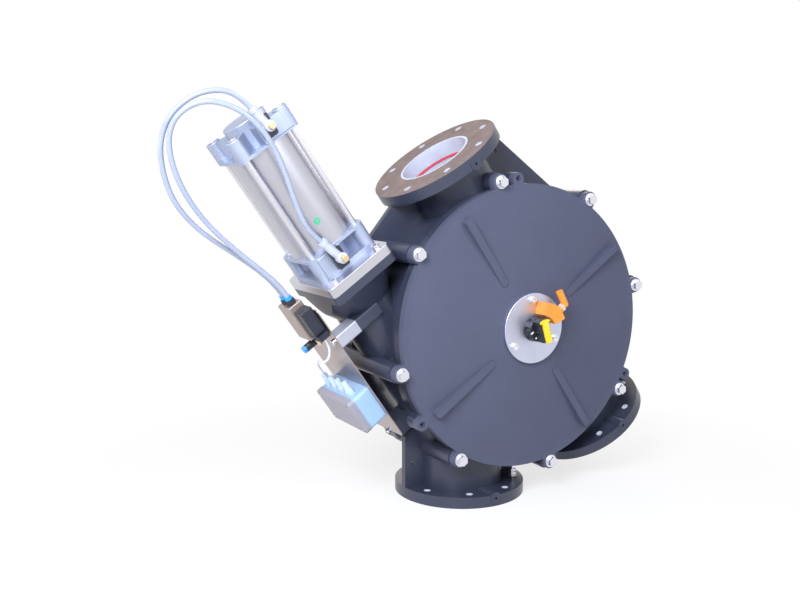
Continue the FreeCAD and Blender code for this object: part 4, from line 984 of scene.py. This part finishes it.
def make_world():
    """Soft even light on the valve, and plain white where the eye or a reflection sees it."""
    world = bpy.data.worlds.new("studio")
    world.use_nodes = True
    bpy.context.scene.world = world
    tree = world.node_tree
    path = tree.nodes.new("ShaderNodeLightPath")
    plain = tree.nodes["Background"]
    plain.inputs["Color"].default_value = rgba(WORLD_TINT)
    plain.inputs["Strength"].default_value = WORLD_STRENGTH
    seen = tree.nodes.new("ShaderNodeBackground")
    seen.inputs["Color"].default_value = rgba(WHITE)
    seen.inputs["Strength"].default_value = 1.0
    mixed = tree.nodes.new("ShaderNodeMixShader")
    either = tree.nodes.new("ShaderNodeMath")
    either.operation = "MAXIMUM"
    tree.links.new(path.outputs["Is Camera Ray"], either.inputs[0])
    tree.links.new(path.outputs["Is Glossy Ray"], either.inputs[1])
    tree.links.new(either.outputs[0], mixed.inputs[0])
    tree.links.new(plain.outputs[0], mixed.inputs[1])
    tree.links.new(seen.outputs[0], mixed.inputs[2])
    tree.links.new(mixed.outputs[0], tree.nodes["World Output"].inputs["Surface"])


def make_lamps():
    """Square lamps turned to the valve's middle, unseen by the camera."""
    for name, place, watts, size, colour in LAMPS:
        light = bpy.data.lights.new(name, "AREA")
        light.energy = watts
        light.size = size
        light.color = colour
        lamp = bpy.data.objects.new(name, light)
        bpy.context.scene.collection.objects.link(lamp)
        lamp.location = place
        lamp.visible_camera = False
        lamp.rotation_euler = (LAMP_TARGET - Vector(place)).to_track_quat("-Z", "Y").to_euler()


def make_camera():
    """The camera at the photograph's place."""
    data = bpy.data.cameras.new("camera")
    data.lens = CAMERA_LENS
    data.sensor_width = CAMERA_SENSOR
    data.sensor_fit = "HORIZONTAL"
    data.clip_start = CAMERA_NEAR
    data.clip_end = CAMERA_FAR
    camera = bpy.data.objects.new("camera", data)
    bpy.context.scene.collection.objects.link(camera)
    camera.location = CAMERA_PLACE
    camera.rotation_euler = CAMERA_LOOK.to_track_quat("-Z", "Y").to_euler()
    bpy.context.scene.camera = camera


# In this order, because the rings and the stud take materials that earlier steps put on CAD nodes
STEPS = [DIVERTER_OT_stage, DIVERTER_OT_hoses, DIVERTER_OT_castings, DIVERTER_OT_flow_path,
         DIVERTER_OT_fasteners, DIVERTER_OT_indicator, DIVERTER_OT_cylinder,
         DIVERTER_OT_flow_controls, DIVERTER_OT_liner_rings, DIVERTER_OT_knob_marks,
         DIVERTER_OT_inspection_dot, DIVERTER_OT_earth_stud, DIVERTER_OT_bracket,
         DIVERTER_OT_solenoid]


class DIVERTER_PT_panel(bpy.types.Panel):
    """Lists the valve's sizes, colours and pieces"""
    bl_label = "Drum diverter valve"
    bl_idname = "DIVERTER_PT_panel"
    bl_space_type = "VIEW_3D"
    bl_region_type = "UI"
    bl_category = "Diverter"

    def draw(self, context):
        layout = self.layout
        for group in (context.scene.diverter_sizes, context.scene.diverter_colours):
            box = layout.box()
            for name in group.__annotations__:
                box.prop(group, name)
        for step in STEPS:
            layout.operator(step.bl_idname)


CLASSES = [DiverterSizes, DiverterColours, *STEPS, DIVERTER_PT_panel]


def register():
    for cls in CLASSES:
        bpy.utils.register_class(cls)
    bpy.types.Scene.diverter_sizes = bpy.props.PointerProperty(type=DiverterSizes)
    bpy.types.Scene.diverter_colours = bpy.props.PointerProperty(type=DiverterColours)


def unregister():
    del bpy.types.Scene.diverter_colours
    del bpy.types.Scene.diverter_sizes
    for cls in reversed(CLASSES):
        bpy.utils.unregister_class(cls)


def main():
    """Makes the whole valve, step by step."""
    register()
    for step in STEPS:
        group, name = step.bl_idname.split(".")
        getattr(getattr(bpy.ops, group), name)()


if __name__ == "__main__":
    main()
